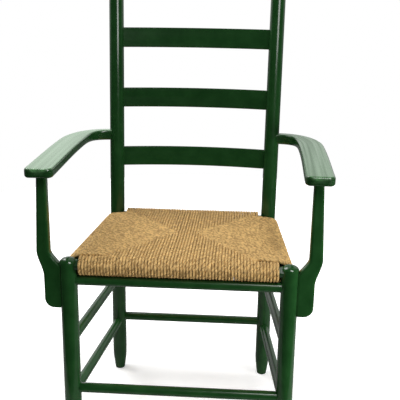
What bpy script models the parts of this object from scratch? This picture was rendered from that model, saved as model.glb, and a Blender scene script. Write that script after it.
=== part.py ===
"""Ladderback armchair with round posts, bowed slats, a woven cord seat and flat arms.

Metres, +Z up. The chair faces -Y, and left is -X. Pieces are drawn with the front post axes on
y = 0, and one empty carries them all so that the origin is the middle of the chair's footprint box.
"""

import math

import bmesh
import bpy
import numpy as np

# Fit between mating pieces
CLEARANCE = 0.0003

# Posts
POST_DIA = 0.0355
FRONT_POST_SPREAD = 0.448
REAR_POST_SPREAD = 0.382
POST_DEPTH = 0.3805
REAR_POST_HEIGHT = 1.087
FOOT_DIA = 0.025
FOOT_TAPER = 0.058
FOOT_EDGE = 0.0025
DOME_RISE = 0.011

# Backward bend of the rear posts, as slopes per metre of height
BEND_START = 0.360
BEND_END = 0.460
BACK_LEAN = 0.122
BACK_SPLAY = 0.0106

# Rungs, with heights of their axes
RUNG_DIA = 0.021
RUNG_TENON_DIA = 0.0125
RUNG_SOCKET = 0.004
TENON_PAST_AXIS = 0.004
FRONT_LOWER_RUNG_HEIGHT = 0.159
FRONT_UPPER_RUNG_HEIGHT = 0.4045
REAR_RUNG_HEIGHT = 0.1505
SIDE_UPPER_RUNG_HEIGHTS = (0.2685, 0.265)
SIDE_LOWER_RUNG_HEIGHTS = (0.1445, 0.138)

# Back slats, spread evenly from the first one's lower edge to a length of bare post above the last
SLAT_COUNT = 4
SLAT_HEIGHT = 0.0475
SLAT_THICKNESS = 0.008
SLAT_EDGE = 0.0025
SLAT_FIRST_HEIGHT = 0.556
POST_ABOVE_SLATS = 0.0485
SLAT_PITCH = (REAR_POST_HEIGHT - POST_ABOVE_SLATS - SLAT_HEIGHT - SLAT_FIRST_HEIGHT) / (SLAT_COUNT - 1)
SLAT_BOW = 0.018
SLAT_ARCH = 0.003
SLAT_TENON_STOP = 0.004
SLAT_STATIONS = 11

# Brads through the slat ends and pins through the arm tenons
BRAD_DIA = 0.0022
BRAD_SETBACK = 0.009
BRAD_PAST_AXIS = 0.009
BRAD_SINK = 0.0003

# Seat rails, with heights of their axes; the side rails lie lower, and the front posts end just above
RAIL_WIDTH = 0.018
RAIL_HEIGHT = 0.024
RAIL_EDGE = 0.0088
RAIL_TENON_DIA = 0.010
RAIL_TENON_OFFSET = 0.0045
FRONT_RAIL_BEVEL = 0.012
FRONT_TENON_OFFSET = 0.0012
FRONT_RAIL_LEVEL = 0.439
REAR_RAIL_LEVEL = 0.4275
SIDE_RAIL_DROPS = (0.007, 0.0045)
SIDE_RAIL_LEVELS = (FRONT_RAIL_LEVEL - SIDE_RAIL_DROPS[0], REAR_RAIL_LEVEL - SIDE_RAIL_DROPS[1])
FRONT_RAIL_FORWARD = 0.003
SIDE_RAIL_INSET = 0.007
POST_ABOVE_RAIL = 0.0145
FRONT_POST_HEIGHT = FRONT_RAIL_LEVEL + POST_ABOVE_RAIL

# Woven seat and its stuffing
CORD_DIA = 0.006
SEAT_POST_GAP = 0.005
SEAT_EDGE = 0.0125
SEAT_BEVEL = 0.0155
PAD_THICKNESS = 0.016
PAD_SEAM = 0.016
PAD_MOUTH = 0.003

# Arms
ARM_HEIGHT = 0.642
ARM_THICKNESS = 0.019
ARM_WIDTH = 0.057
ARM_EDGE = 0.005
ARM_TONGUE_WIDTH = 0.027
ARM_TONGUE_THICKNESS = 0.0245
ARM_TURN = 0.120
ARM_BULGE = 0.280
ARM_TURN_FULLNESS = (0.62, 0.75)
ARM_NOSE_X = 0.2695
ARM_OVERHANG = 0.032
ARM_NOSE_RADIUS = 0.014
ARM_COPE = 0.009
ARM_TENON_DIA = 0.014
ARM_TENON_PAST_AXIS = 0.006

# Arm supports
SUPPORT_DEPTH = 0.020
SUPPORT_EDGE = 0.005
SUPPORT_FOOT_LEVEL = 0.345
SUPPORT_COVE = 0.004
SUPPORT_LOWER_OUTER = 0.2738
SUPPORT_ELBOW_INNER = 0.2600
SUPPORT_ELBOW_OUTER = 0.2870
SUPPORT_TOP_INNER = 0.2607
SUPPORT_TOP_OUTER = 0.2803
SUPPORT_BEND_START = 0.412
SUPPORT_STEP_START = 0.428
SUPPORT_BEND_END = 0.468
SUPPORT_FOOT_RADIUS = 0.019
SUPPORT_TENON_DIA = 0.014
SUPPORT_TENON_LENGTH = 0.0135

# Screws through the arm supports
SCREW_LEVELS = (0.368, 0.390)
SCREW_DIA = 0.0042
SCREW_HEAD_DIA = 0.0085
SCREW_HEAD_DEPTH = 0.0032
SCREW_SINK = 0.0004
SCREW_PAST_AXIS = 0.006
SCREW_TIP_DIA = 0.001
SCREW_TIP_LENGTH = 0.006

# Height step that gives a post's direction
AXIS_STEP = 0.001

# Sides of the round pieces
POST_SIDES = 24
RUNG_SIDES = 16
PIN_SIDES = 8
CORNER_POINTS = 3

GREEN = (0.008, 0.034, 0.010)
CORD = (0.54, 0.34, 0.135)
CARD = (0.42, 0.31, 0.19)
STEEL = (0.55, 0.55, 0.56)

SIDES = {"left": -1, "right": 1}
PANELS = ("front", "right", "rear", "left")
UP = np.array((0.0, 0.0, 1.0))
OBLIQUE = np.array((0.31, 0.47, 0.83))
POST_RADIUS = POST_DIA / 2


def unit(vector):
    """The vector at length one."""
    return vector / np.linalg.norm(vector)


def smooth_step(start, end, value):
    """0 before start, 1 after end, and an eased rise between them."""
    t = np.clip((value - start) / (end - start), 0.0, 1.0)
    return t * t * (3.0 - 2.0 * t)


def corner_round(radius, distance):
    """How far a rounded corner of this radius draws in its side at a distance from the end."""
    short = np.clip(radius - distance, 0.0, radius)
    return radius - np.sqrt(radius**2 - short**2)


# Meshes


def new_object(name, mesh):
    """A named object in the scene that holds the mesh."""
    piece = bpy.data.objects.new(name, mesh)
    bpy.context.scene.collection.objects.link(piece)
    return piece


def object_from_bmesh(name, bm):
    """A closed bmesh, turned to face out, as a named object."""
    bmesh.ops.recalc_face_normals(bm, faces=bm.faces)
    mesh = bpy.data.meshes.new(name)
    bm.to_mesh(mesh)
    bm.free()
    return new_object(name, mesh)


def loft(name, rings):
    """A closed body through rings of equally many points, with a flat cap at each end."""
    bm = bmesh.new()
    loops = []
    for ring in rings:
        loops.append([bm.verts.new(point) for point in ring])
    for low, high in zip(loops, loops[1:]):
        for i in range(len(low)):
            j = (i + 1) % len(low)
            bm.faces.new((low[i], low[j], high[j], high[i]))
    bm.faces.new(loops[0])
    bm.faces.new(loops[-1])
    return object_from_bmesh(name, bm)


def layer(name, outline, thickness, hub=None):
    """A slab over a plan outline of (x, y, middle level) points, fanned from a hub where it has one."""
    bm = bmesh.new()
    half = thickness / 2
    skins = []
    for offset in (-half, half):
        rim = [bm.verts.new((x, y, level + offset)) for x, y, level in outline]
        if hub is None:
            bm.faces.new(rim)
        else:
            middle = bm.verts.new((hub[0], hub[1], hub[2] + offset))
            for near, far in zip(rim, rim[1:] + rim[:1]):
                bm.faces.new((near, far, middle))
        skins.append(rim)
    low, high = skins
    for i in range(len(outline)):
        j = (i + 1) % len(outline)
        bm.faces.new((low[i], low[j], high[j], high[i]))
    return object_from_bmesh(name, bm)


def combine(target, tools, operation):
    """Cut or join the tools with the target, and take the tools away."""
    for tool in tools:
        modifier = target.modifiers.new(tool.name, "BOOLEAN")
        modifier.operation = operation
        modifier.solver = "EXACT"
        modifier.object = tool
    bpy.context.view_layer.update()
    graph = bpy.context.evaluated_depsgraph_get()
    mesh = bpy.data.meshes.new_from_object(target.evaluated_get(graph))
    target.modifiers.clear()
    target.data = mesh
    for tool in tools:
        bpy.data.objects.remove(tool)


def cut(target, *tools):
    """Take the tools' shapes out of the target."""
    combine(target, tools, "DIFFERENCE")


# Sections


def circle(radius, count):
    """Points round a circle in its own plane."""
    angle = (np.arange(count) + 0.5) * 2 * math.pi / count
    return radius * np.column_stack((np.cos(angle), np.sin(angle)))


def rounded_rectangle(width, height, radius):
    """Points round a rectangle whose four corners are arcs."""
    turn = np.linspace(0, math.pi / 2, CORNER_POINTS)
    points = []
    for corner in range(4):
        angle = turn + corner * math.pi / 2
        middle = corner * math.pi / 2 + math.pi / 4
        x = math.copysign(width / 2 - radius, math.cos(middle))
        y = math.copysign(height / 2 - radius, math.sin(middle))
        points.append(np.column_stack((x + radius * np.cos(angle), y + radius * np.sin(angle))))
    return np.concatenate(points)


def placed(section, centre, across, upward):
    """A plane section carried to its place in the chair."""
    return centre + section[:, :1] * across + section[:, 1:] * upward


def turned(name, start, end, profile, count):
    """A turned piece along a line, from (distance, radius) pairs."""
    along = unit(end - start)
    across = unit(np.cross(along, OBLIQUE))
    upward = np.cross(along, across)
    rings = []
    for distance, radius in profile:
        rings.append(placed(circle(radius, count), start + along * distance, across, upward))
    return loft(name, rings)


# Axes of the posts


def bend(level):
    """Height above the bend that the lean and the splay have acted on."""
    length = BEND_END - BEND_START
    inside = np.clip(level - BEND_START, 0.0, length) ** 2 / (2 * length)
    return inside + max(level - BEND_END, 0.0)


def rear_axis(side, level):
    """Point on a rear post's axis at a level."""
    x = REAR_POST_SPREAD / 2 + BACK_SPLAY * bend(level)
    return np.array((side * x, POST_DEPTH + BACK_LEAN * bend(level), level))


def front_axis(side, level):
    """Point on a front post's axis at a level."""
    return np.array((side * FRONT_POST_SPREAD / 2, 0.0, level))


def back_direction(level):
    """Unit vector out of the back, square to the rear posts' lean."""
    slope = BACK_LEAN * np.clip((level - BEND_START) / (BEND_END - BEND_START), 0.0, 1.0)
    return unit(np.array((0.0, 1.0, -slope)))


# Pieces


def post(name, axis, top, levels, growth=0.0):
    """A round post: tapered foot, shaft through the given levels, and domed top."""
    foot = FOOT_DIA / 2
    profile = []
    for angle in np.linspace(0, math.pi / 2, 3):
        profile.append((FOOT_EDGE * (1 - math.cos(angle)), foot - FOOT_EDGE * (1 - math.sin(angle))))
    for t in np.linspace(0, 1, 4)[1:]:
        swell = math.sin(t * math.pi / 2)
        profile.append((FOOT_EDGE + t * (FOOT_TAPER - FOOT_EDGE), foot + swell * (POST_RADIUS - foot)))
    profile += [(level, POST_RADIUS) for level in levels]
    last = math.radians(75)
    for angle in np.linspace(0, last, 4):
        rise = math.sin(angle) / math.sin(last)
        profile.append((top - DOME_RISE * (1 - rise), POST_RADIUS * math.cos(angle)))
    rings = []
    for level, radius in profile:
        along = unit(axis(level + AXIS_STEP) - axis(level - AXIS_STEP))
        across = unit(np.cross((0.0, 1.0, 0.0), along))
        section = circle(radius + growth, POST_SIDES)
        rings.append(placed(section, axis(level), across, np.cross(along, across)))
    return loft(name, rings)


def front_post(name, side, growth=0.0):
    """A front post, upright and domed just above the seat."""
    return post(name, lambda level: front_axis(side, level), FRONT_POST_HEIGHT, [], growth)


def rear_post(name, side, growth=0.0):
    """A rear post, bent back between seat and arms."""
    levels = np.linspace(BEND_START, BEND_END, 5)
    return post(name, lambda level: rear_axis(side, level), REAR_POST_HEIGHT, levels, growth)


def shouldered(start, end, body, tenon, growth):
    """Stations (distance, section) of a bar whose shouldered ends are let into two posts."""
    length = np.linalg.norm(end - start)
    tip = -TENON_PAST_AXIS - growth
    shoulder = POST_RADIUS - RUNG_SOCKET - growth
    near = [(tip, tenon), (shoulder, tenon), (shoulder, body)]
    return near + [(length - distance, section) for distance, section in reversed(near)]


def bar(name, start, end, body, tenon, growth):
    """A shouldered bar between two post axes, with its section upright."""
    along = unit(end - start)
    across = unit(np.cross(UP, along))
    upward = np.cross(along, across)
    rings = []
    for distance, section in shouldered(start, end, body, tenon, growth):
        rings.append(placed(section, start + along * distance, across, upward))
    return loft(name, rings)


def rung(name, start, end, growth=0.0):
    """A round rung with a thinner round tenon at each end."""
    body = circle(RUNG_DIA / 2 + growth, RUNG_SIDES)
    tenon = circle(RUNG_TENON_DIA / 2 + growth, RUNG_SIDES)
    return bar(name, start, end, body, tenon, growth)


def rail(name, start, end, tenon_shift, bevel, growth=0.0):
    """A seat rail: an oval bar, planed off along its upper outer edge by the bevel, with offset round tenons."""
    body = rounded_rectangle(RAIL_WIDTH + 2 * growth, RAIL_HEIGHT + 2 * growth, RAIL_EDGE + growth)
    planed = (RAIL_WIDTH + RAIL_HEIGHT) / 2 - bevel + growth * math.sqrt(2)
    body[:, 1] = np.minimum(body[:, 1], planed + body[:, 0])
    tenon = circle(RAIL_TENON_DIA / 2 + growth, len(body)) + (0.0, tenon_shift)
    return bar(name, start, end, body, tenon, growth)


def slat_middle(index):
    """Level of a slat's middle at its ends."""
    return SLAT_FIRST_HEIGHT + SLAT_HEIGHT / 2 + index * SLAT_PITCH


def slat(name, level, growth=0.0):
    """A back slat: a thin rounded board bowed backward, its middle arched up a little."""
    end = rear_axis(1, level)
    half = end[0] - SLAT_TENON_STOP + growth
    back = back_direction(level)
    upward = np.cross((1.0, 0.0, 0.0), back)
    section = rounded_rectangle(SLAT_THICKNESS + 2 * growth, SLAT_HEIGHT + 2 * growth, SLAT_EDGE + growth)
    rings = []
    for share in np.linspace(-1, 1, SLAT_STATIONS):
        sweep = 1 - share**2
        centre = np.array((share * half, end[1], level)) + sweep * (SLAT_BOW * back + SLAT_ARCH * upward)
        across = unit(back + np.array((2 * share * SLAT_BOW / half, 0.0, 0.0)))
        rings.append(placed(section, centre, across, upward))
    return loft(name, rings)


def nail(name, centre, setback, growth=0.0):
    """A brad or pin driven into a rear post from behind, at a setback from its axis toward the middle."""
    side = np.sign(centre[0])
    back = back_direction(centre[2])
    middle = centre - np.array((side * setback, 0.0, 0.0))
    head = math.sqrt(POST_RADIUS**2 - setback**2) - BRAD_SINK
    if growth:
        head = POST_DIA
    start = middle + back * head
    end = middle - back * (BRAD_PAST_AXIS + growth)
    radius = BRAD_DIA / 2 + growth
    return turned(name, start, end, [(0.0, radius), (np.linalg.norm(end - start), radius)], PIN_SIDES)


def bezier(points, t):
    """Point and direction on a cubic curve through its first and last point."""
    a, b, c, d = points
    s = 1 - t
    point = s**3 * a + 3 * s**2 * t * b + 3 * s * t**2 * c + t**3 * d
    direction = s**2 * (b - a) + 2 * s * t * (c - b) + t**2 * (d - c)
    return point, unit(direction)


def arm_stations():
    """Plan stations (point, direction, width, thickness) of the right arm, from rear post to nose."""
    rear = rear_axis(1, ARM_HEIGHT - ARM_THICKNESS / 2)[:2]
    start = rear + (ARM_COPE, 0.0)
    corner = np.array((ARM_BULGE, rear[1] - ARM_TURN))
    nose = np.array((ARM_NOSE_X, -ARM_OVERHANG))
    run = corner[1] - nose[1]
    drift = ARM_BULGE - ARM_NOSE_X
    turn = (start, start + (ARM_TURN_FULLNESS[0] * (ARM_BULGE - start[0]), 0.0),
            corner + (0.0, ARM_TURN_FULLNESS[1] * ARM_TURN), corner)
    straight = (corner, corner - (0.0, run / 3), nose + (drift / 3, run / 3), nose)
    stations = []
    for t in np.linspace(0, 1, 10):
        gone = smooth_step(0.2, 1.0, t)
        width = ARM_TONGUE_WIDTH + (ARM_WIDTH - ARM_TONGUE_WIDTH) * gone
        thickness = ARM_TONGUE_THICKNESS + (ARM_THICKNESS - ARM_TONGUE_THICKNESS) * gone
        stations.append((*bezier(turn, t), width, thickness))
    for t in (0.3, 0.6):
        stations.append((*bezier(straight, t), ARM_WIDTH, ARM_THICKNESS))
    tip, forward = bezier(straight, 1.0)
    for angle in np.linspace(0, math.pi / 2, 5):
        distance = ARM_NOSE_RADIUS * (1 - math.sin(angle))
        width = ARM_WIDTH - 2 * corner_round(ARM_NOSE_RADIUS, distance)
        thickness = ARM_THICKNESS - 2 * corner_round(ARM_EDGE, distance)
        stations.append((tip - forward * distance, forward, width, thickness))
    return stations


def arm_tenon(name, side, growth=0.0):
    """The round tenon that carries an arm in its rear post."""
    axis = rear_axis(side, ARM_HEIGHT - ARM_THICKNESS / 2)
    outward = np.array((side, 0.0, 0.0))
    start = axis + outward * POST_DIA
    end = axis - outward * (ARM_TENON_PAST_AXIS + growth)
    radius = ARM_TENON_DIA / 2 + growth
    return turned(name, start, end, [(0.0, radius), (np.linalg.norm(end - start), radius)], RUNG_SIDES)


def support_tenon_profile(growth=0.0):
    """Levels and radius of the tenon on top of an arm support."""
    shoulder = ARM_HEIGHT - ARM_THICKNESS - CLEARANCE
    return shoulder, shoulder + SUPPORT_TENON_LENGTH + growth, SUPPORT_TENON_DIA / 2 + growth


def support_tenon_cutter(name, side):
    """The blind hole in an arm's underside for its support."""
    shoulder, top, radius = support_tenon_profile(CLEARANCE)
    x = side * (SUPPORT_TOP_INNER + SUPPORT_TOP_OUTER) / 2
    start = np.array((x, 0.0, shoulder - SUPPORT_TENON_LENGTH))
    end = np.array((x, 0.0, top))
    return turned(name, start, end, [(0.0, radius), (top - start[2], radius)], RUNG_SIDES)


def arm(name, side):
    """A flat arm, coped and tenoned to the rear post and bored for its support."""
    level = ARM_HEIGHT - ARM_THICKNESS / 2
    rings = []
    for point, direction, width, thickness in arm_stations():
        section = rounded_rectangle(width, thickness, ARM_EDGE)
        centre = np.array((side * point[0], point[1], level))
        across = np.array((side * direction[1], -direction[0], 0.0))
        rings.append(placed(section, centre, across, UP))
    piece = loft(name, rings)
    cut(piece, rear_post("cope", side, CLEARANCE))
    combine(piece, [arm_tenon("tenon", side)], "UNION")
    pin_hole = nail("pin hole", rear_axis(side, level), 0.0, CLEARANCE)
    cut(piece, support_tenon_cutter("support mortise", side), pin_hole)
    return piece


def support_faces(level):
    """Inner and outer face of the right arm support at a level."""
    top = ARM_HEIGHT - ARM_THICKNESS
    rise = np.clip((level - SUPPORT_BEND_END) / (top - SUPPORT_BEND_END), 0.0, 1.0)
    lower_inner = FRONT_POST_SPREAD / 2 + POST_RADIUS - SUPPORT_COVE
    step = smooth_step(SUPPORT_STEP_START, SUPPORT_BEND_END, level)
    swing = smooth_step(SUPPORT_BEND_START, SUPPORT_BEND_END, level)
    inner = lower_inner + (SUPPORT_ELBOW_INNER - lower_inner) * step
    inner += (SUPPORT_TOP_INNER - SUPPORT_ELBOW_INNER) * rise
    outer = SUPPORT_LOWER_OUTER + (SUPPORT_ELBOW_OUTER - SUPPORT_LOWER_OUTER) * swing
    outer += (SUPPORT_TOP_OUTER - SUPPORT_ELBOW_OUTER) * rise
    return inner, outer - corner_round(SUPPORT_FOOT_RADIUS, level - SUPPORT_FOOT_LEVEL)


def arm_support(name, side):
    """An S-shaped upright, coved to the front post's outer side and tenoned into the arm."""
    shoulder, tenon_top, tenon_radius = support_tenon_profile()
    foot = SUPPORT_FOOT_LEVEL + SUPPORT_FOOT_RADIUS * (1 - np.cos(np.linspace(0, math.pi / 2, 4)))
    swing = np.linspace(SUPPORT_BEND_START, SUPPORT_BEND_END, 8)
    across = np.array((side, 0.0, 0.0))
    forward = np.array((0.0, 1.0, 0.0))
    rings = []
    for level in (*foot, *swing, shoulder):
        inner, outer = support_faces(level)
        section = rounded_rectangle(outer - inner, SUPPORT_DEPTH, SUPPORT_EDGE)
        centre = np.array((side * (inner + outer) / 2, 0.0, level))
        rings.append(placed(section, centre, across, forward))
    tenon = circle(tenon_radius, len(rings[0]))
    for level in (shoulder, tenon_top):
        centre = np.array((side * (SUPPORT_TOP_INNER + SUPPORT_TOP_OUTER) / 2, 0.0, level))
        rings.append(placed(tenon, centre, across, forward))
    piece = loft(name, rings)
    cut(piece, front_post("cove", side, CLEARANCE))
    cut(piece, *[screw("screw hole", side, level, CLEARANCE) for level in SCREW_LEVELS])
    return piece


def screw(name, side, level, growth=0.0):
    """A countersunk screw through an arm support into the front post."""
    start = np.array((side * (SUPPORT_LOWER_OUTER - SCREW_SINK), 0.0, level))
    end = np.array((side * (FRONT_POST_SPREAD / 2 - SCREW_PAST_AXIS), 0.0, level))
    length = np.linalg.norm(end - start)
    head = SCREW_HEAD_DIA / 2 + growth
    shank = SCREW_DIA / 2 + growth
    tip = SCREW_TIP_DIA / 2 + growth
    profile = [(0.0, head), (SCREW_HEAD_DEPTH, shank)]
    profile += [(length - SCREW_TIP_LENGTH, shank), (length + growth, tip)]
    if growth:
        profile.insert(0, (-SUPPORT_EDGE, head))
    return turned(name, start, end, profile, PIN_SIDES)


# The seat


def side_rail_start(side):
    """Front end of a side rail, a little inside its front post's axis."""
    return front_axis(side, SIDE_RAIL_LEVELS[0]) - np.array((side * SIDE_RAIL_INSET, 0.0, 0.0))


def rail_ends():
    """Start, end, tenon shift and bevel of each seat rail, between the axes of its posts."""
    forward = np.array((0.0, FRONT_RAIL_FORWARD, 0.0))
    ends = {
        "front": (front_axis(-1, FRONT_RAIL_LEVEL) - forward, front_axis(1, FRONT_RAIL_LEVEL) - forward,
                  FRONT_TENON_OFFSET, FRONT_RAIL_BEVEL),
        "rear": (rear_axis(-1, REAR_RAIL_LEVEL), rear_axis(1, REAR_RAIL_LEVEL), RAIL_TENON_OFFSET, 0.0),
    }
    for word, side in SIDES.items():
        ends[word] = (side_rail_start(side), rear_axis(side, SIDE_RAIL_LEVELS[1]), -RAIL_TENON_OFFSET, 0.0)
    return ends


def side_rail(y):
    """Distance of a side rail's axis from the chair's middle plane, and its level."""
    front = side_rail_start(1)
    rear = rear_axis(1, SIDE_RAIL_LEVELS[1])
    x, _, level = front + (rear - front) * y / rear[1]
    return x, level


def seat_hub():
    """Where the seat's four triangles meet."""
    depth = rear_axis(1, REAR_RAIL_LEVEL)[1] / 2
    return np.array((0.0, depth, (FRONT_RAIL_LEVEL + REAR_RAIL_LEVEL + sum(SIDE_RAIL_LEVELS)) / 4))


def seat_outline():
    """The seat in plan, notched round the four posts, with the level of its middle at each corner."""
    wrap = RAIL_WIDTH / 2 + CORD_DIA
    room = POST_RADIUS + SEAT_POST_GAP
    rear = rear_axis(1, REAR_RAIL_LEVEL)
    front_x = FRONT_POST_SPREAD / 2 - room
    rear_x = rear[0] - room
    far = rear[1] - room
    near_side, near_level = side_rail(room)
    far_side, far_level = side_rail(far)
    right = [
        (front_x, -FRONT_RAIL_FORWARD - wrap, FRONT_RAIL_LEVEL),
        (front_x, room, (FRONT_RAIL_LEVEL + near_level) / 2),
        (near_side + wrap, room, near_level),
        (far_side + wrap, far, far_level),
        (rear_x, far, (REAR_RAIL_LEVEL + far_level) / 2),
        (rear_x, rear[1] + wrap, REAR_RAIL_LEVEL),
    ]
    left = [(-x, y, level) for x, y, level in reversed(right)]
    return right + left


def inset_triangle(corners, insets):
    """A triangle in plan whose edges move inward by the given distances; edge i leaves corner i."""
    middle = np.mean(corners, axis=0)
    normals = []
    offsets = []
    for i in range(3):
        edge = corners[(i + 1) % 3] - corners[i]
        normal = unit(np.array((-edge[1], edge[0])))
        if normal @ (middle - corners[i]) < 0:
            normal = -normal
        normals.append(normal)
        offsets.append(normal @ corners[i] + insets[i])
    pairs = ((2, 0), (0, 1), (1, 2))
    return [np.linalg.solve([normals[a], normals[b]], [offsets[a], offsets[b]]) for a, b in pairs]


def seat_panel(word, base_inset, seam_inset):
    """One of the seat's four triangles, from its rail to the hub, drawn in at the rail and at the seams."""
    half = RAIL_WIDTH / 2
    near = half - FRONT_RAIL_FORWARD
    far = rear_axis(1, REAR_RAIL_LEVEL)[1] - half
    near_side, near_level = side_rail(near)
    far_side, far_level = side_rail(far)
    near_x = near_side - half
    far_x = far_side - half
    bases = {
        "front": ((-near_x, near, FRONT_RAIL_LEVEL), (near_x, near, FRONT_RAIL_LEVEL)),
        "rear": ((-far_x, far, REAR_RAIL_LEVEL), (far_x, far, REAR_RAIL_LEVEL)),
        "left": ((-near_x, near, near_level), (-far_x, far, far_level)),
        "right": ((near_x, near, near_level), (far_x, far, far_level)),
    }
    corners = np.array((*bases[word], seat_hub()))
    plane = np.linalg.solve(np.column_stack((corners[:, :2], np.ones(3))), corners[:, 2])
    outline = inset_triangle(corners[:, :2], (base_inset, seam_inset, seam_inset))
    return [(x, y, plane @ (x, y, 1.0)) for x, y in outline]


def seat_pad(name, word):
    """Stuffing between the seat's two layers of cord, under one triangle of the weave."""
    return layer(name, seat_panel(word, CLEARANCE, PAD_SEAM / 2 + CLEARANCE), PAD_THICKNESS)


def woven_seat(name):
    """The cord seat as one body, open inside for its four rails and its stuffing."""
    piece = layer(name, seat_outline(), RAIL_HEIGHT + 2 * CORD_DIA, seat_hub())
    bm = bmesh.new()
    bm.from_mesh(piece.data)
    sides = [edge for edge in bm.edges if is_seat_side(edge)]
    crest = [edge for edge in sides if is_seat_crest(edge)]
    others = [edge for edge in sides if edge not in crest]
    bmesh.ops.bevel(bm, geom=others, offset=SEAT_EDGE, segments=3, profile=0.5, affect="EDGES")
    bmesh.ops.bevel(bm, geom=crest, offset=SEAT_BEVEL, segments=3, profile=0.35, affect="EDGES")
    bm.to_mesh(piece.data)
    bm.free()
    tunnels = [rail("tunnel", *ends, CLEARANCE) for ends in rail_ends().values()]
    cut(piece, *tunnels)
    for word in PANELS:
        pocket = seat_panel(word, -PAD_MOUTH, PAD_SEAM / 2)
        cut(piece, layer("pocket", pocket, PAD_THICKNESS + 2 * CLEARANCE))
    return piece


def is_seat_side(edge):
    """Whether an edge is one of the seat's long outer ones: level with a rail and not part of the fan."""
    upright = any(abs(face.normal.z) < 0.5 for face in edge.link_faces)
    return upright and edge.calc_length() > POST_DEPTH / 2


def is_seat_crest(edge):
    """Whether an edge is the upper front one."""
    return all(vert.co.y < 0 and vert.co.z > FRONT_RAIL_LEVEL for vert in edge.verts)


# The chair


def finish(piece, colour, roughness, metallic=0.0):
    """Give a piece its own material and smooth shading between its sharp edges."""
    material = bpy.data.materials.new(piece.name)
    material.use_nodes = True
    shader = material.node_tree.nodes["Principled BSDF"]
    shader.inputs["Base Color"].default_value = (*colour, 1.0)
    shader.inputs["Roughness"].default_value = roughness
    shader.inputs["Metallic"].default_value = metallic
    piece.data.materials.clear()
    piece.data.materials.append(material)
    piece.data.shade_smooth()
    piece.data.set_sharp_from_angle(angle=math.radians(35))
    return piece


def rung_ends():
    """Start and end of each rung on the axes of the posts that hold it."""
    ends = {"rear_rung": (rear_axis(-1, REAR_RUNG_HEIGHT), rear_axis(1, REAR_RUNG_HEIGHT))}
    for place, level in (("lower", FRONT_LOWER_RUNG_HEIGHT), ("upper", FRONT_UPPER_RUNG_HEIGHT)):
        ends[f"front_rung_{place}"] = (front_axis(-1, level), front_axis(1, level))
    for place, levels in (("lower", SIDE_LOWER_RUNG_HEIGHTS), ("upper", SIDE_UPPER_RUNG_HEIGHTS)):
        for word, side in SIDES.items():
            ends[f"side_rung_{place}_{word}"] = (front_axis(side, levels[0]), rear_axis(side, levels[1]))
    return ends


def bars_in(axis_point):
    """Cutters for every rung and rail that ends in the post whose axis passes near a point."""
    cutters = []
    for name, (start, end) in rung_ends().items():
        if post_holds(axis_point, start, end):
            cutters.append(rung(f"{name} socket", start, end, CLEARANCE))
    for name, (start, end, *shape) in rail_ends().items():
        if post_holds(axis_point, start, end):
            cutters.append(rail(f"{name} rail socket", start, end, *shape, CLEARANCE))
    return cutters


def post_holds(axis_point, start, end):
    """Whether a bar from start to end begins or ends in the post that stands on a floor point."""
    return any(np.linalg.norm(point[:2] - axis_point[:2]) < POST_RADIUS for point in (start, end))


def build_posts():
    """The four posts with every socket, slot and hole that the other pieces need."""
    pieces = []
    for word, side in SIDES.items():
        front = front_post(f"front_post_{word}", side)
        screws = [screw("pilot", side, level, CLEARANCE) for level in SCREW_LEVELS]
        cut(front, *bars_in(front_axis(side, 0.0)), *screws)
        rear = rear_post(f"rear_post_{word}", side)
        middles = [slat_middle(i) for i in range(SLAT_COUNT)]
        slots = [slat("slot", level, CLEARANCE) for level in middles]
        brads = [nail("brad hole", rear_axis(side, level), BRAD_SETBACK, CLEARANCE) for level in middles]
        arm_axis = rear_axis(side, ARM_HEIGHT - ARM_THICKNESS / 2)
        arm_holes = [arm_tenon("arm mortise", side, CLEARANCE), nail("pin hole", arm_axis, 0.0, CLEARANCE)]
        cut(rear, *bars_in(rear_axis(side, 0.0)), *slots, *brads, *arm_holes)
        pieces += [front, rear]
    return pieces


def build_back():
    """The slats, and the brads that hold their ends."""
    slats = []
    brads = []
    for i in range(SLAT_COUNT):
        level = slat_middle(i)
        piece = slat(f"back_slat_{i + 1}", level)
        for word, side in SIDES.items():
            axis = rear_axis(side, level)
            brads.append(nail(f"slat_brad_{i + 1}_{word}", axis, BRAD_SETBACK))
            cut(piece, nail("brad hole", axis, BRAD_SETBACK, CLEARANCE))
        slats.append(piece)
    return slats, brads


def build_arms():
    """The arms on their supports, with the pins and screws that hold them."""
    wood = []
    metal = []
    for word, side in SIDES.items():
        wood.append(arm(f"arm_{word}", side))
        wood.append(arm_support(f"arm_support_{word}", side))
        metal.append(nail(f"arm_pin_{word}", rear_axis(side, ARM_HEIGHT - ARM_THICKNESS / 2), 0.0))
        for place, level in zip(("lower", "upper"), SCREW_LEVELS):
            metal.append(screw(f"support_screw_{place}_{word}", side, level))
    return wood, metal


def box_middle(pieces):
    """Middle of the bottom of the box round all the pieces."""
    corners = []
    for piece in pieces:
        points = np.empty(3 * len(piece.data.vertices))
        piece.data.vertices.foreach_get("co", points)
        points = points.reshape(-1, 3)
        corners += [points.min(axis=0), points.max(axis=0)]
    low = np.min(corners, axis=0)
    high = np.max(corners, axis=0)
    return (low[0] + high[0]) / 2, (low[1] + high[1]) / 2, low[2]


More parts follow.
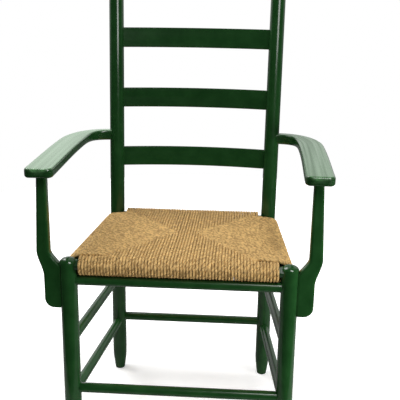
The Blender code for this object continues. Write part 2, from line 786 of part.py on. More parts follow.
def build_chair():
    """Every piece with its material, carried by one empty at the middle of the footprint."""
    posts = build_posts()
    slats, brads = build_back()
    arms, fasteners = build_arms()
    rungs = [rung(name, start, end) for name, (start, end) in rung_ends().items()]
    rails = [rail(f"seat_rail_{word}", *ends) for word, ends in rail_ends().items()]
    pads = [seat_pad(f"seat_pad_{word}", word) for word in PANELS]
    seat = woven_seat("woven_seat")
    for piece in posts + slats + arms + rungs + rails:
        finish(piece, GREEN, 0.25)
    for piece in pads:
        finish(piece, CARD, 0.9)
    for piece in brads + fasteners:
        finish(piece, STEEL, 0.35, 1.0)
    finish(seat, CORD, 0.8)
    pieces = posts + slats + arms + rungs + rails + pads + brads + fasteners + [seat]
    chair = new_object("ladderback_chair", None)
    x, y, z = box_middle(pieces)
    chair.location = (-x, -y, -z)
    for piece in pieces:
        piece.parent = chair


for old in list(bpy.data.objects):
    bpy.data.objects.remove(old)
build_chair()
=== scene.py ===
# %% [markdown]
# # A green ladderback armchair
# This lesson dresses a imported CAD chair. The CAD gives the places of forty-two pieces, and the
# cells below give those pieces smooth skins, a corded seat and painted wood. Every new piece sits
# where its CAD piece is, so nothing has to be fitted by eye.

# %% Load the frame
import math

import bpy
import numpy as np
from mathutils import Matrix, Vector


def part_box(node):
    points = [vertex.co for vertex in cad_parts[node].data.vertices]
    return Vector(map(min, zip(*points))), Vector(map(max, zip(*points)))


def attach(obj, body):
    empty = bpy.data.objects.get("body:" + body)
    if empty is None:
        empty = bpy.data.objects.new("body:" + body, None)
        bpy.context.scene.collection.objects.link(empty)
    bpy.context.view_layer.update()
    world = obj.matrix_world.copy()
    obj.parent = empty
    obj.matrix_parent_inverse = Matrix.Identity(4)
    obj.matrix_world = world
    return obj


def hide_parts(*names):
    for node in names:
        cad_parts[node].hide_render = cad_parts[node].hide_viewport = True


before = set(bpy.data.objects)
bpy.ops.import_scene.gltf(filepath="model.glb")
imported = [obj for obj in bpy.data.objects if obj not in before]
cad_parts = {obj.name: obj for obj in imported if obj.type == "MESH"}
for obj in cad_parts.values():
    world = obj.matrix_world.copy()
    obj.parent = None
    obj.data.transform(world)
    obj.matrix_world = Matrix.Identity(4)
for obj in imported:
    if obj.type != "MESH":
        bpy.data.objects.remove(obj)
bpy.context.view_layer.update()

# %% [markdown]
# ## The frame's own measures
# A chair maker works from a few lengths: how far the posts stand apart, how they lean and how thick
# they are. They are written once here, in metres. Depths are measured from the front posts' axes,
# and one box of the CAD tells where these axes stand in the frame.

# %% Measures of the frame
POST_RADIUS = 0.01775
REAR_X = 0.191
REAR_DEPTH = 0.3805
BEND_START, BEND_END = 0.360, 0.460
BACK_LEAN, BACK_SPLAY = 0.122, 0.0106
SIDES = {"left": -1, "right": 1}
UP = np.array((0.0, 0.0, 1.0))

low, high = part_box("front_post_right")
FRONT_X = (low.x + high.x) / 2
FRONT_Y = (low.y + high.y) / 2
FRONT_TOP = high.z
REAR_TOP = 1.087
print(f"front posts at x {FRONT_X:.4f}, y {FRONT_Y:.4f}, top {FRONT_TOP:.4f}")

# %% [markdown]
# ## Skins from rings of points
# Most chair parts are a section carried along a path: a circle along a post, a rounded rectangle
# along an arm. Modelling each by hand would need many edits, so one helper takes a whole grid of
# points, joins neighbours with four-sided faces and closes both ends. Two attributes go with each
# skin: the wood's own coordinates, so that grain runs along the piece, and a mark on its edges.


# %% Grid helpers
def unit(vectors):
    """Each vector divided by its own length."""
    return vectors / np.linalg.norm(vectors, axis=-1, keepdims=True)


def xyz(x, y, z):
    """Points or vectors from their three coordinates, each an array or one number for all."""
    return np.stack(np.broadcast_arrays(x, y, z), axis=-1)


def ease(start, end, value):
    """0 before start, 1 after end, and 3t^2 - 2t^3 for the share t between them."""
    t = np.clip((value - start) / (end - start), 0.0, 1.0)
    return t * t * (3.0 - 2.0 * t)


def corner_round(radius, distance):
    """How far a corner arc of this radius has drawn in its side at a distance from the end."""
    short = np.clip(radius - distance, 0.0, radius)
    return radius - np.sqrt(radius**2 - short**2)


print("half way through an ease:", ease(0.0, 1.0, 0.5))

# %% [markdown]
# A mesh needs its points and its faces. Faces of a grid follow one rule, so they are made from the
# numbers of its points all at once.


# %% Meshes and marks
def put_mesh(name, points, faces, sharp=42):
    """A new object with these points and faces, shaded smooth but for corners over sharp degrees."""
    mesh = bpy.data.meshes.new(name)
    mesh.from_pydata(points.tolist(), [], faces)
    mesh.shade_smooth()
    mesh.set_sharp_from_angle(angle=math.radians(sharp))
    piece = bpy.data.objects.new(name, mesh)
    bpy.context.scene.collection.objects.link(piece)
    return piece


def mark(piece, label, values):
    """Store one number or one vector per point under a label that materials can read."""
    kind, field = ("FLOAT_VECTOR", "vector") if values.ndim == 2 else ("FLOAT", "value")
    attribute = piece.data.attributes.new(label, kind, "POINT")
    attribute.data.foreach_set(field, values.astype(np.float32).ravel())


def ring_quads(index):
    """Four-sided faces that join each ring of point numbers index[..., ring, point] to the next one."""
    ahead = np.roll(index, -1, axis=-1)
    corners = index[..., :-1, :], ahead[..., :-1, :], ahead[..., 1:, :], index[..., 1:, :]
    return np.stack(corners, axis=-1).reshape(-1, 4)


print("faces between two rings of three points:", len(ring_quads(np.arange(6).reshape(2, 3))))


# %% Skins
def skin(name, rings, grain, edge, **marks):
    """A closed skin over points rings[i, j]. Faces join ring i to ring i + 1 and a ring's last point
    to its first, and a fan closes each end on its ring's mean. If the sum of a . (b x c) over the
    faces, six times the volume, is negative, every face is turned round."""
    rows, columns = rings.shape[:2]
    index = np.arange(rows * columns).reshape(rows, columns)
    ahead = np.roll(index, -1, axis=1)
    quads = ring_quads(index)
    poles = rows * columns + np.zeros((2, columns), int) + ((0,), (1,))
    fans = np.concatenate((np.stack((ahead[0], index[0], poles[0]), axis=-1),
                           np.stack((index[-1], ahead[-1], poles[1]), axis=-1)))

    def with_poles(values):
        """The values of all points, then the mean of the first ring's and that of the last ring's."""
        flat = values.reshape(rows * columns, -1)
        return np.concatenate((flat, values[[0, -1]].reshape(2, columns, -1).mean(axis=1)))

    points = with_poles(rings)
    corners = points[np.concatenate((quads[:, :3], quads[:, [0, 2, 3]], fans))]
    volume = np.einsum("ij,ij", corners[:, 0], np.cross(corners[:, 1], corners[:, 2]))
    if volume < 0:
        quads, fans = quads[:, ::-1], fans[:, ::-1]
    piece = put_mesh(name, points, quads.tolist() + fans.tolist())
    mark(piece, "grain", with_poles(grain))
    for label, values in {"edge": edge, **marks}.items():
        mark(piece, label, with_poles(values[..., None])[:, 0])
    return piece


print("meshes before the first skin:", len(bpy.data.meshes))

# %% Wooden pieces
pieces = {}
grain_seed = np.random.default_rng(7)
TREE_SPAN = 5


def circle(radius, count, turn=0.0):
    """Widths and heights of count points round a circle, one row for each radius."""
    angle = np.linspace(0, 2 * math.pi, count, endpoint=False) + turn
    return radius[:, None] * np.cos(angle), radius[:, None] * np.sin(angle)


def wooden(name, centre, across, upward, section, distance, edge, **marks):
    """The skin of a painted piece: points centre_i + across_i * width_ij + upward_i * height_ij. The wood's
    coordinates are the distance along, the width and the height, moved to a new spot in the tree."""
    width, height = section
    across, upward = (np.broadcast_to(way, centre.shape)[:, None] for way in (across, upward))
    rings = centre[:, None] + across * width[..., None] + upward * height[..., None]
    grain = xyz(distance[:, None], width, height) + grain_seed.uniform(-TREE_SPAN, TREE_SPAN, 3)
    marks = {label: np.broadcast_to(values, width.shape) for label, values in marks.items()}
    pieces[name] = skin(name + "_painted", rings, grain, np.broadcast_to(edge, width.shape), **marks)


print("widths of a circle's four points:", circle(np.ones(1), 4)[0].round(3))

# %% [markdown]
# ## Posts
# The four posts are turned from straight wood, and the rear two are steamed and bent back at the
# height of the seat. A post is a circle carried up its axis: the radius tapers to the foot and
# rounds over at the top. A Screw modifier could turn the straight ones as a lathe does, but a circle
# on a bent axis serves all four.


# %% Post axes
def bend(level):
    """Height that leans: inside the bend its square over twice the bend's length, then all above it."""
    length = BEND_END - BEND_START
    return np.clip(level - BEND_START, 0, length) ** 2 / (2 * length) + np.maximum(level - BEND_END, 0)


def lean_share(level):
    """Slope of the bend: 0 below it, rising evenly to 1 at its end."""
    return np.clip((level - BEND_START) / (BEND_END - BEND_START), 0.0, 1.0)


def rear_axis(side, level):
    """Points on a rear post's axis: its foot, plus the splay sideways and the lean backward."""
    x = side * (REAR_X + BACK_SPLAY * bend(level))
    return xyz(x, FRONT_Y + REAR_DEPTH + BACK_LEAN * bend(level), level)


def front_axis(side, level):
    """Points on a front post's axis, straight up from its foot."""
    return xyz(side * FRONT_X, FRONT_Y, level)


print("a rear post's top leans back by", round(float(BACK_LEAN * bend(REAR_TOP)), 4))

# %% Post skins
FOOT_RADIUS, FOOT_EDGE, FOOT_TAPER = 0.0125, 0.0025, 0.058
DOME_RISE, DOME_END = 0.011, math.radians(87)
POST_SIDES, TOP_WORN, TOP_WEAR = 56, 0.004, 0.5
FOOT_STEPS, TAPER_STEPS, SHAFT_STEPS, DOME_STEPS = 9, 16, 60, 16


def post_profile(top):
    """Levels and radii of a post: a quarter circle at the foot's edge, a taper that swells as a sine,
    the plain shaft and a dome that falls as an ellipse."""
    turn = np.linspace(0.0, math.pi / 2, FOOT_STEPS)
    taper = np.linspace(0.0, 1.0, TAPER_STEPS)[1:]
    shaft = np.linspace(FOOT_TAPER, top - DOME_RISE, SHAFT_STEPS)[1:-1]
    dome = np.linspace(0.0, DOME_END, DOME_STEPS)
    level = np.concatenate((FOOT_EDGE * (1 - np.cos(turn)), FOOT_EDGE + taper * (FOOT_TAPER - FOOT_EDGE),
                            shaft, top - DOME_RISE * (1 - np.sin(dome))))
    swell = FOOT_RADIUS + np.sin(taper * math.pi / 2) * (POST_RADIUS - FOOT_RADIUS)
    radius = np.concatenate((FOOT_RADIUS - FOOT_EDGE * (1 - np.sin(turn)), swell,
                             np.full_like(shaft, POST_RADIUS), POST_RADIUS * np.cos(dome)))
    return level, radius


def post_skin(name, side, axis, leans, top):
    """A post: circles of the profile's radius, square to the axis at each level. The top's edge is worn."""
    level, radius = post_profile(top)
    share = leans * lean_share(level)
    along = unit(xyz(side * BACK_SPLAY * share, BACK_LEAN * share, 1.0))
    across = unit(np.cross((0.0, 1.0, 0.0), along))
    edge = TOP_WEAR * ease(top - TOP_WORN, top, level)[:, None]
    wooden(name, axis(side, level), across, np.cross(along, across), circle(radius, POST_SIDES), level, edge)


for word, side in SIDES.items():
    post_skin(f"front_post_{word}", side, front_axis, 0, FRONT_TOP)
    post_skin(f"rear_post_{word}", side, rear_axis, 1, REAR_TOP)
print("posts:", [len(piece.data.polygons) for piece in pieces.values()])

# %% [markdown]
# ## Rungs
# Seven round rungs tie the posts together, each let into a socket at both ends. A cylinder could be
# turned into place, but a tube carried from one post's axis to the next needs no angle worked out.
# It starts and stops inside the posts, so the joint line is where the two skins meet.

# %% Rung skins
RUNG_RADIUS = 0.0105
RUNG_INSIDE = 0.004
FRONT_RUNG_LEVELS = {"lower": 0.159, "upper": 0.4045}
SIDE_RUNG_LEVELS = {"lower": (0.1445, 0.138), "upper": (0.2685, 0.265)}
REAR_RUNG_LEVEL = 0.1505
RUNG_RINGS, RUNG_SIDES = 48, 40


def rung_skin(name, start, end):
    """A tube of one radius along the line from start to end, shortened to just inside the posts."""
    along = unit(end - start)
    inside = POST_RADIUS - RUNG_INSIDE
    distance = np.linspace(inside, np.linalg.norm(end - start) - inside, RUNG_RINGS)
    across = unit(np.cross(UP, along))
    section = circle(np.full_like(distance, RUNG_RADIUS), RUNG_SIDES)
    wooden(name, start + along * distance[:, None], across, np.cross(along, across), section, distance, 0.0)


for place, level in FRONT_RUNG_LEVELS.items():
    rung_skin(f"front_rung_{place}", front_axis(-1, level), front_axis(1, level))
rung_skin("rear_rung", rear_axis(-1, REAR_RUNG_LEVEL), rear_axis(1, REAR_RUNG_LEVEL))
for place, (near, far) in SIDE_RUNG_LEVELS.items():
    for word, side in SIDES.items():
        rung_skin(f"side_rung_{place}_{word}", front_axis(side, near), rear_axis(side, far))
print("pieces with rungs:", len(pieces))

# %% [markdown]
# ## Slats
# The four back slats are thin boards, steamed so that they bow backward and let into the rear posts.
# Their section is a rectangle with rounded edges. Writing the section with a sign and an angle for
# each point lets one array stretch it to any width, so slats, arms and supports all share it.


# %% A rounded section
FLAT_LEFT = 0.0001


def section_shape(arc, wide, tall):
    """Points round a rounded rectangle as (sign x, sign y, angle): arcs keep the signs and turn the angle,
    flats keep the angle and move one sign from +1 to -1 or back. The counts are of points in an arc, on
    a flat across and on an upright one."""
    quarter = np.linspace(0, math.pi / 2, arc)
    shape = []
    for corner, (sx, sy, count) in enumerate(((1, 1, wide), (-1, 1, tall), (-1, -1, wide), (1, -1, tall))):
        shape.append(np.stack((np.full(arc, sx), np.full(arc, sy), quarter + corner * math.pi / 2), axis=-1))
        move = np.linspace(1, -1, count + 2)[1:-1]
        last = np.full(count, (corner + 1) * math.pi / 2)
        across = (sx * move, np.full(count, sy)) if corner % 2 == 0 else (np.full(count, sx), sy * move)
        shape.append(np.stack((*across, last), axis=-1))
    return np.concatenate(shape).T


def rounded(shape, width, height, radius):
    """Section points at each station: sign * (half size - radius) + radius * cosine or sine of the angle."""
    sign_x, sign_y, angle = shape
    width, height = width[:, None], height[:, None]
    radius = np.minimum(radius, np.minimum(width, height) / 2 - FLAT_LEFT)
    return (sign_x * (width / 2 - radius) + radius * np.cos(angle),
            sign_y * (height / 2 - radius) + radius * np.sin(angle))


def edge_of(shape):
    """1 at the middle of each corner arc, 0 on the flats: the absolute sine of twice the angle."""
    return np.abs(np.sin(2 * shape[2]))


print("points of a section with two in each corner:", section_shape(2, 0, 0).shape[1])

# %% Slat skins
SLAT_HEIGHT, SLAT_THICKNESS, SLAT_EDGE = 0.0475, 0.008, 0.0025
SLAT_FIRST, SLAT_PITCH = 0.556 + SLAT_HEIGHT / 2, 0.145
SLAT_BOW, SLAT_ARCH, SLAT_STOP = 0.018, 0.003, 0.004
SLAT_COUNT, SLAT_RINGS, SLAT_SECTION = 4, 90, (7, 3, 18)


def slat_skin(name, level):
    """A slat: over the share s from -1 to 1 its middle moves back by bow * (1 - s^2) and up by
    arch * (1 - s^2)."""
    end = rear_axis(1, level)
    half = end[0] - SLAT_STOP
    back = unit(np.array((0.0, 1.0, -BACK_LEAN)))
    upward = np.cross((1.0, 0.0, 0.0), back)
    share = np.linspace(-1, 1, SLAT_RINGS)
    same = np.ones_like(share)
    centre = xyz(share * half, end[1], level)
    centre += (1 - share**2)[:, None] * (SLAT_BOW * back + SLAT_ARCH * upward)
    across = unit(back + xyz(2 * share * SLAT_BOW / half, 0.0, 0.0))
    shape = section_shape(*SLAT_SECTION)
    section = rounded(shape, same * SLAT_THICKNESS, same * SLAT_HEIGHT, SLAT_EDGE)
    wooden(name, centre, across, upward, section, share * half, edge_of(shape))


for number in range(SLAT_COUNT):
    slat_skin(f"back_slat_{number + 1}", SLAT_FIRST + number * SLAT_PITCH)
print("pieces with slats:", len(pieces))

# %% [markdown]
# ## Arms
# Each arm is a flat board, sawn to a curve: a narrow tongue leaves the rear post sideways, swings
# round and widens to a broad, nearly straight rest with a rounded nose. In plan its middle line is
# two cubic curves, and the section follows that line, turning with it. A drawn outline could be
# thickened instead, but the section also rounds the edges and the nose as it goes.

# %% Arm line
ARM_TOP, ARM_THICKNESS, ARM_WIDTH, ARM_EDGE = 0.642, 0.019, 0.057, 0.005
ARM_TONGUE, ARM_TURN, ARM_BULGE = (0.027, 0.0245), 0.120, 0.280
ARM_FULLNESS, ARM_GROWTH = (0.62, 0.75), (0.2, 1.0)
ARM_NOSE_X, ARM_OVERHANG, ARM_NOSE_RADIUS, ARM_COPE = 0.2695, 0.032, 0.014, 0.009
NOSE_LEAD = 1.2
TONGUE_STEPS, REST_STEPS, NOSE_STEPS = 60, 50, 16


def cubic(points, t):
    """Points and directions of a cubic curve: s^3 a + 3 s^2 t b + 3 s t^2 c + t^3 d with s = 1 - t."""
    a, b, c, d = (np.array(point) for point in points)
    t = t[:, None]
    s = 1 - t
    place = s**3 * a + 3 * s**2 * t * b + 3 * s * t**2 * c + t**3 * d
    return place, unit(s**2 * (b - a) + 2 * s * t * (c - b) + t**2 * (d - c))


def arm_line():
    """Plan points, directions, widths and thicknesses of the right arm, from the rear post to the nose."""
    rear = rear_axis(1, ARM_TOP - ARM_THICKNESS / 2)[:2]
    start = rear + (ARM_COPE, 0.0)
    corner = np.array((ARM_BULGE, rear[1] - ARM_TURN))
    nose = np.array((ARM_NOSE_X, FRONT_Y - ARM_OVERHANG))
    run, drift = corner[1] - nose[1], ARM_BULGE - ARM_NOSE_X
    t = np.linspace(0, 1, TONGUE_STEPS)
    place, way = cubic((start, start + (ARM_FULLNESS[0] * (ARM_BULGE - start[0]), 0.0),
                        corner + (0.0, ARM_FULLNESS[1] * ARM_TURN), corner), t)
    grown = ease(*ARM_GROWTH, t)
    width = ARM_TONGUE[0] + (ARM_WIDTH - ARM_TONGUE[0]) * grown
    thickness = ARM_TONGUE[1] + (ARM_THICKNESS - ARM_TONGUE[1]) * grown
    straight = (corner, corner - (0.0, run / 3), nose + (drift / 3, run / 3), nose)
    share = np.linspace(0, 1 - NOSE_LEAD * ARM_NOSE_RADIUS / run, REST_STEPS)[1:]
    place_2, way_2 = cubic(straight, share)
    tip, forward = cubic(straight, np.ones(1))
    left = ARM_NOSE_RADIUS * (1 - np.sin(np.linspace(0, math.pi / 2, NOSE_STEPS)))
    places = np.concatenate((place, place_2, tip - forward * left[:, None]))
    ways = np.concatenate((way, way_2, np.repeat(forward, left.size, axis=0)))
    gone = np.concatenate((np.full(t.size + len(place_2), ARM_NOSE_RADIUS), left))
    widths = np.concatenate((width, np.full(len(place_2) + left.size, ARM_WIDTH)))
    thicknesses = np.concatenate((thickness, np.full(len(place_2) + left.size, ARM_THICKNESS)))
    return (places, ways, widths - 2 * corner_round(ARM_NOSE_RADIUS, gone),
            thicknesses - 2 * corner_round(ARM_EDGE, gone))


print("stations of an arm:", len(arm_line()[0]))

# %% Arm skins
ARM_SECTION = (8, 22, 4)


def arm_skin(name, side):
    """An arm: rounded sections square to the plan line, level all along. The mark on its top, where forearms
    rest and where the paint gets its painted sheen, is the fourth power of the sine of the section's angle."""
    places, ways, widths, thicknesses = arm_line()
    centre = xyz(side * places[:, 0], places[:, 1], ARM_TOP - ARM_THICKNESS / 2)
    across = xyz(side * ways[:, 1], -ways[:, 0], 0.0)
    steps = np.linalg.norm(np.diff(places, axis=0), axis=1)
    distance = np.concatenate(((0.0,), np.cumsum(steps)))
    shape = section_shape(*ARM_SECTION)
    section = rounded(shape, widths, thicknesses, ARM_EDGE)
    rest = np.clip(np.sin(shape[2]), 0, 1) ** 4
    wooden(name, centre, across, UP, section, distance, edge_of(shape), rest=rest)


for word, side in SIDES.items():
    arm_skin(f"arm_{word}", side)
print("arm faces:", len(pieces["arm_left"].data.polygons))

# %% [markdown]
# ## Arm supports
# An S-shaped upright carries the front of each arm. Its lower end is screwed to the outer side of
# the front post, then it steps outward and rises to the arm. A box could be bent by hand, but then
# its fit to the post would be a guess. Here two functions of height give its inner and outer face,
# and the section fills the space between them.

# %% Support skins
SUPPORT_DEPTH, SUPPORT_EDGE, SUPPORT_FOOT, SUPPORT_FOOT_RADIUS = 0.020, 0.005, 0.345, 0.019
SUPPORT_COVE, ARM_ENTRY = 0.004, 0.002
SUPPORT_LOWER = (FRONT_X + POST_RADIUS - SUPPORT_COVE, 0.2738)
SUPPORT_ELBOW = (0.2600, 0.2870)
SUPPORT_TOP = (0.2607, 0.2803)
SUPPORT_SWING, SUPPORT_STEP, SUPPORT_ELBOW_LEVEL = 0.412, 0.428, 0.468
LOWER_STEPS, UPPER_STEPS, SUPPORT_SECTION = 14, 34, (7, 8, 6)


def support_faces(level):
    """Inner and outer face: the lower ones, moved to the elbow by an eased step, then straight to the top."""
    rise = np.clip((level - SUPPORT_ELBOW_LEVEL) / (ARM_TOP - ARM_THICKNESS - SUPPORT_ELBOW_LEVEL), 0, 1)
    faces = []
    for i, start in enumerate((SUPPORT_STEP, SUPPORT_SWING)):
        step = ease(start, SUPPORT_ELBOW_LEVEL, level)
        faces.append(SUPPORT_LOWER[i] + (SUPPORT_ELBOW[i] - SUPPORT_LOWER[i]) * step
                     + (SUPPORT_TOP[i] - SUPPORT_ELBOW[i]) * rise)
    return faces[0], faces[1] - corner_round(SUPPORT_FOOT_RADIUS, level - SUPPORT_FOOT)


def support_skin(name, side):
    """A support: rounded sections, level by level, from its foot to just inside the arm."""
    foot = SUPPORT_FOOT + SUPPORT_FOOT_RADIUS * (1 - np.cos(np.linspace(0, math.pi / 2, LOWER_STEPS)))
    top = ARM_TOP - ARM_THICKNESS + ARM_ENTRY
    level = np.concatenate((foot, np.linspace(foot[-1], SUPPORT_SWING, LOWER_STEPS)[1:],
                            np.linspace(SUPPORT_SWING, SUPPORT_ELBOW_LEVEL, UPPER_STEPS)[1:],
                            np.linspace(SUPPORT_ELBOW_LEVEL, top, UPPER_STEPS)[1:]))
    inner, outer = support_faces(level)
    centre = xyz(side * (inner + outer) / 2, FRONT_Y, level)
    shape = section_shape(*SUPPORT_SECTION)
    under = corner_round(SUPPORT_EDGE / 2, level - SUPPORT_FOOT)
    section = rounded(shape, outer - inner - under, SUPPORT_DEPTH - 2 * under, SUPPORT_EDGE)
    wooden(name, centre, (side, 0.0, 0.0), (0.0, 1.0, 0.0), section, level, edge_of(shape))


for word, side in SIDES.items():
    support_skin(f"arm_support_{word}", side)
print("pieces with supports:", len(pieces))

# %% [markdown]
# ## Screw heads
# Two countersunk screws hold each support. Only their slotted heads show, on the outer face. A
# Boolean modifier could cut the slot, but it leaves uneven faces. Here the head is a disc of rings
# whose height drops inside a straight slot, and the same skin goes on down the cone and the shank,
# so the screw is one closed body.

# %% Screw skins
SCREW_LEVELS = {"lower": 0.368, "upper": 0.390}
SCREW_SINK, SCREW_PAST_AXIS = 0.0004, 0.006
SCREW_FACE, SCREW_END = SUPPORT_LOWER[1] - SCREW_SINK, FRONT_X - SCREW_PAST_AXIS
SCREW_HEAD, SCREW_SHANK, SCREW_POINT = 0.00425, 0.0021, 0.0004
HEAD_RINGS, HEAD_MIDDLE, HEAD_DOME, SCREW_SIDES = 22, 0.0002, 0.0003, 72
CONE_DEPTH, POINT_LENGTH = 0.0032, 0.006
SLOT_WIDTH, SLOT_DEPTH, SLOT_WALL = 0.0011, 0.0011, (0.4, 0.6)
FIRST_TURN, LEVEL_TURN, SIDE_TURN = 0.5, 1.1, 0.7


def screw_skin(name, side, level, turn):
    """A screw: rings grow over the head, then follow the cone, the shank and the point. Inside the slot,
    where the distance from its line is under half its width, the head drops by the slot's depth."""
    length = SCREW_FACE - SCREW_END
    head = np.linspace(HEAD_MIDDLE, SCREW_HEAD, HEAD_RINGS)
    radius = np.concatenate((head, (SCREW_SHANK, SCREW_SHANK, SCREW_POINT)))
    dome = HEAD_DOME * (head / SCREW_HEAD) ** 4
    depth = np.concatenate((dome, (CONE_DEPTH, length - POINT_LENGTH, length)))[:, None]
    width, height = circle(radius, SCREW_SIDES, turn)
    line = np.abs(circle(radius, SCREW_SIDES)[1])
    slot = SLOT_DEPTH * (1 - ease(*np.multiply(SLOT_WIDTH, SLOT_WALL), line))
    slot[HEAD_RINGS:] = 0.0
    rings = xyz(side * (SCREW_FACE - depth - slot), FRONT_Y + width, level + height)
    pieces[name] = skin(name + "_slotted", rings, xyz(depth, width, height), np.zeros(width.shape))


for number, (place, level) in enumerate(SCREW_LEVELS.items()):
    for word, side in SIDES.items():
        slot_turn = FIRST_TURN + LEVEL_TURN * number + SIDE_TURN * side
        screw_skin(f"support_screw_{place}_{word}", side, level, slot_turn)
print("pieces with screws:", len(pieces))

# %% [markdown]
# ## The corded seat
# The seat is one long cord of twisted paper. It is wound over the four rails in the envelope
# pattern: strands lie front to back in the front and rear panels, side to side in the side panels,
# and they duck under each other along four seams. A texture could fake it, but then the edge over
# the rails would be smooth. Here every strand is a tube that comes out of a seam, runs over the top,
# goes round its rail and returns below, where the cord hangs a little.

# %% Rails and seams of the seat
CORD_RADIUS = 0.0032
RAIL_HALF = (0.009, 0.012)
RAIL_EDGE, RAIL_BEVEL = 0.0088, 0.012
FRONT_RAIL_Y, FRONT_RAIL_Z = -0.003, 0.439
REAR_RAIL_Y, REAR_RAIL_Z = 0.38328, 0.4275
SIDE_RAIL_X, SIDE_RAIL_Z = (0.217, 0.19121), (0.432, 0.423)
NECK, FLAP, SEAT_MIDDLE_Y = 0.0231, 0.157, 0.19
FRONT_SEAM = ((NECK, FLAP), (0.197, 0.010))
REAR_SEAM = ((NECK, 0.152), (0.199, 0.360))
CROWN, CROWN_RISE = 0.003, (0.012, 0.06)
LOW_SAG, LOW_HANG, HANG_RUN, RAIL_NEAR = 0.003, 0.013, 0.02, 0.001


def side_rail(y):
    """Distance of the side rails' axes from the middle, and their level, at a depth y: straight lines."""
    share = y / REAR_RAIL_Y
    return (SIDE_RAIL_X[0] + share * (SIDE_RAIL_X[1] - SIDE_RAIL_X[0]),
            SIDE_RAIL_Z[0] + share * (SIDE_RAIL_Z[1] - SIDE_RAIL_Z[0]))


def seat_middle(x, y):
    """Level halfway through the seat: the four rails' levels, each weighed by one over its distance."""
    rail_x, rail_z = side_rail(y)
    distance = np.stack((y - FRONT_RAIL_Y, REAR_RAIL_Y - y, rail_x - x, rail_x + x))
    weight = 1 / np.maximum(distance, RAIL_NEAR)
    ends = np.full_like(rail_z, FRONT_RAIL_Z), np.full_like(rail_z, REAR_RAIL_Z)
    return (weight * np.stack((*ends, rail_z, rail_z))).sum(axis=0) / weight.sum(axis=0)


print("side rails at mid depth:", side_rail(SEAT_MIDDLE_Y))


# %% Seat layers
def from_rails(x, y):
    """Distance inward from the axis of the nearest rail."""
    return np.minimum(np.minimum(y - FRONT_RAIL_Y, REAR_RAIL_Y - y), side_rail(y)[0] - np.abs(x))


def seat_half(x, y):
    """Half the seat's thickness to its strands' middles: rail and cord, plus a crown over the stuffing."""
    return RAIL_HALF[1] + CORD_RADIUS + CROWN * ease(*CROWN_RISE, from_rails(x, y))


def seat_top(x, y):
    """Level of the upper layer of cord."""
    return seat_middle(x, y) + seat_half(x, y)


def seat_low(x, y):
    """Level of the lower layer, which hangs little at a rail and in full two centimetres in."""
    hang = LOW_SAG + LOW_HANG * ease(0.0, HANG_RUN, from_rails(x, y))
    return seat_middle(x, y) - seat_half(x, y) - hang


print("seat level at its middle:", seat_middle(np.zeros(1), np.full(1, SEAT_MIDDLE_Y)).round(4))

# %% [markdown]
# A strand's path is written in two coordinates first: how far it lies outside its rail's axis, and
# how high. It starts down in the seam, turns up onto the top, runs out to the rail, follows the
# rail's rounded outside and comes back the same way below. The front rail is bevelled, so its strands
# slope before they turn down. All strands of a panel are one array.

# %% Strand profiles
DIVE, DIVE_DEPTH = 0.005, 1.7
OUT_ROUND = RAIL_EDGE + CORD_RADIUS
BEVEL_SLOPE, BEVEL_REACH = np.array((0.707, -0.707)), (0.006, 0.0015)
WRAP_STEPS, BEVEL_STEPS, DIVE_STEPS = 11, 5, 5


def wrap_profile():
    """Outward and upward offsets round a rail's outside: two quarter circles and the face between them."""
    turn = np.linspace(0, math.pi, WRAP_STEPS)
    out = RAIL_HALF[0] + CORD_RADIUS - OUT_ROUND + OUT_ROUND * np.sin(turn)
    face = RAIL_HALF[1] + CORD_RADIUS - OUT_ROUND
    rise = np.sign(np.cos(turn).round(6)) * face + OUT_ROUND * np.cos(turn)
    return out, np.where(rise < 0, rise - LOW_SAG, rise)


def bevelled_profile():
    """The same round the bevelled front rail: out and rise add up to one sum along the bevel, and at both its
    ends a curve corner + (1 - t)^2 a + t^2 b softens the turn."""
    out, rise = wrap_profile()
    total = sum(RAIL_HALF) - RAIL_BEVEL + CORD_RADIUS * math.sqrt(2)
    t = np.linspace(0, 1, BEVEL_STEPS)[:, None]
    upper, lower = np.array((total - rise[0], rise[0])), np.array((out.max(), total - out.max()))
    first = upper + BEVEL_REACH[0] * ((1 - t) ** 2 * (-1, 0) + t**2 * BEVEL_SLOPE)
    second = lower + BEVEL_REACH[1] * ((1 - t) ** 2 * -BEVEL_SLOPE + t**2 * (0, -1))
    below = np.stack((out, rise), axis=-1)[WRAP_STEPS // 2 + 1:]
    return np.concatenate((first, second, below)).T


def dive_profile():
    """Inward and downward offsets at a strand's end: a quarter circle, then straight down."""
    turn = np.linspace(math.pi / 2, 0, DIVE_STEPS)[:-1]
    inward = np.concatenate(((DIVE,), DIVE * np.sin(turn)))
    down = np.concatenate(((DIVE_DEPTH * DIVE,), DIVE * (1 - np.cos(turn))))
    return inward, down


def strand_runs(inner, edge, top_steps, low_steps):
    """Even steps from the seams out to the rail's edge, and from the edge back to the seams."""
    shares = np.linspace(0, 1, top_steps)[:-1], np.linspace(1, 0, low_steps)[1:]
    return (inner + (edge - inner) * share for share in shares)


def strand_levels(top, rounds, low):
    """Levels of whole strands: out of a seam, over the top, round the rail, back below, into the seam."""
    down = dive_profile()[1]
    rounds = np.broadcast_to(rounds, (len(top), rounds.shape[-1]))
    return np.concatenate((top[:, :1] - down, top, rounds, low, low[:, -1:] + down[::-1]), axis=1)


print("points round a rail:", wrap_profile()[0].size, "and round the bevel:", bevelled_profile()[0].size)

# %% [markdown]
# A strand becomes a tube: a small circle carried along its path. Real cord never lies quite straight,
# so each strand is moved a little at random. A curve with a bevel could do the same, but an array
# makes all strands of a panel at once and lets the twist be laid along each.

# %% Tubes
CORD_SIDES, CORD_SHARP, CORD_FULLNESS = 8, 60, 0.95
WIDTH_SPREAD, WANDER, WAVE_TURN, WAVE_SHARE, SHIFT_SHARE = 0.06, 0.00022, 9, 0.6, 0.5
rng = np.random.default_rng(11)


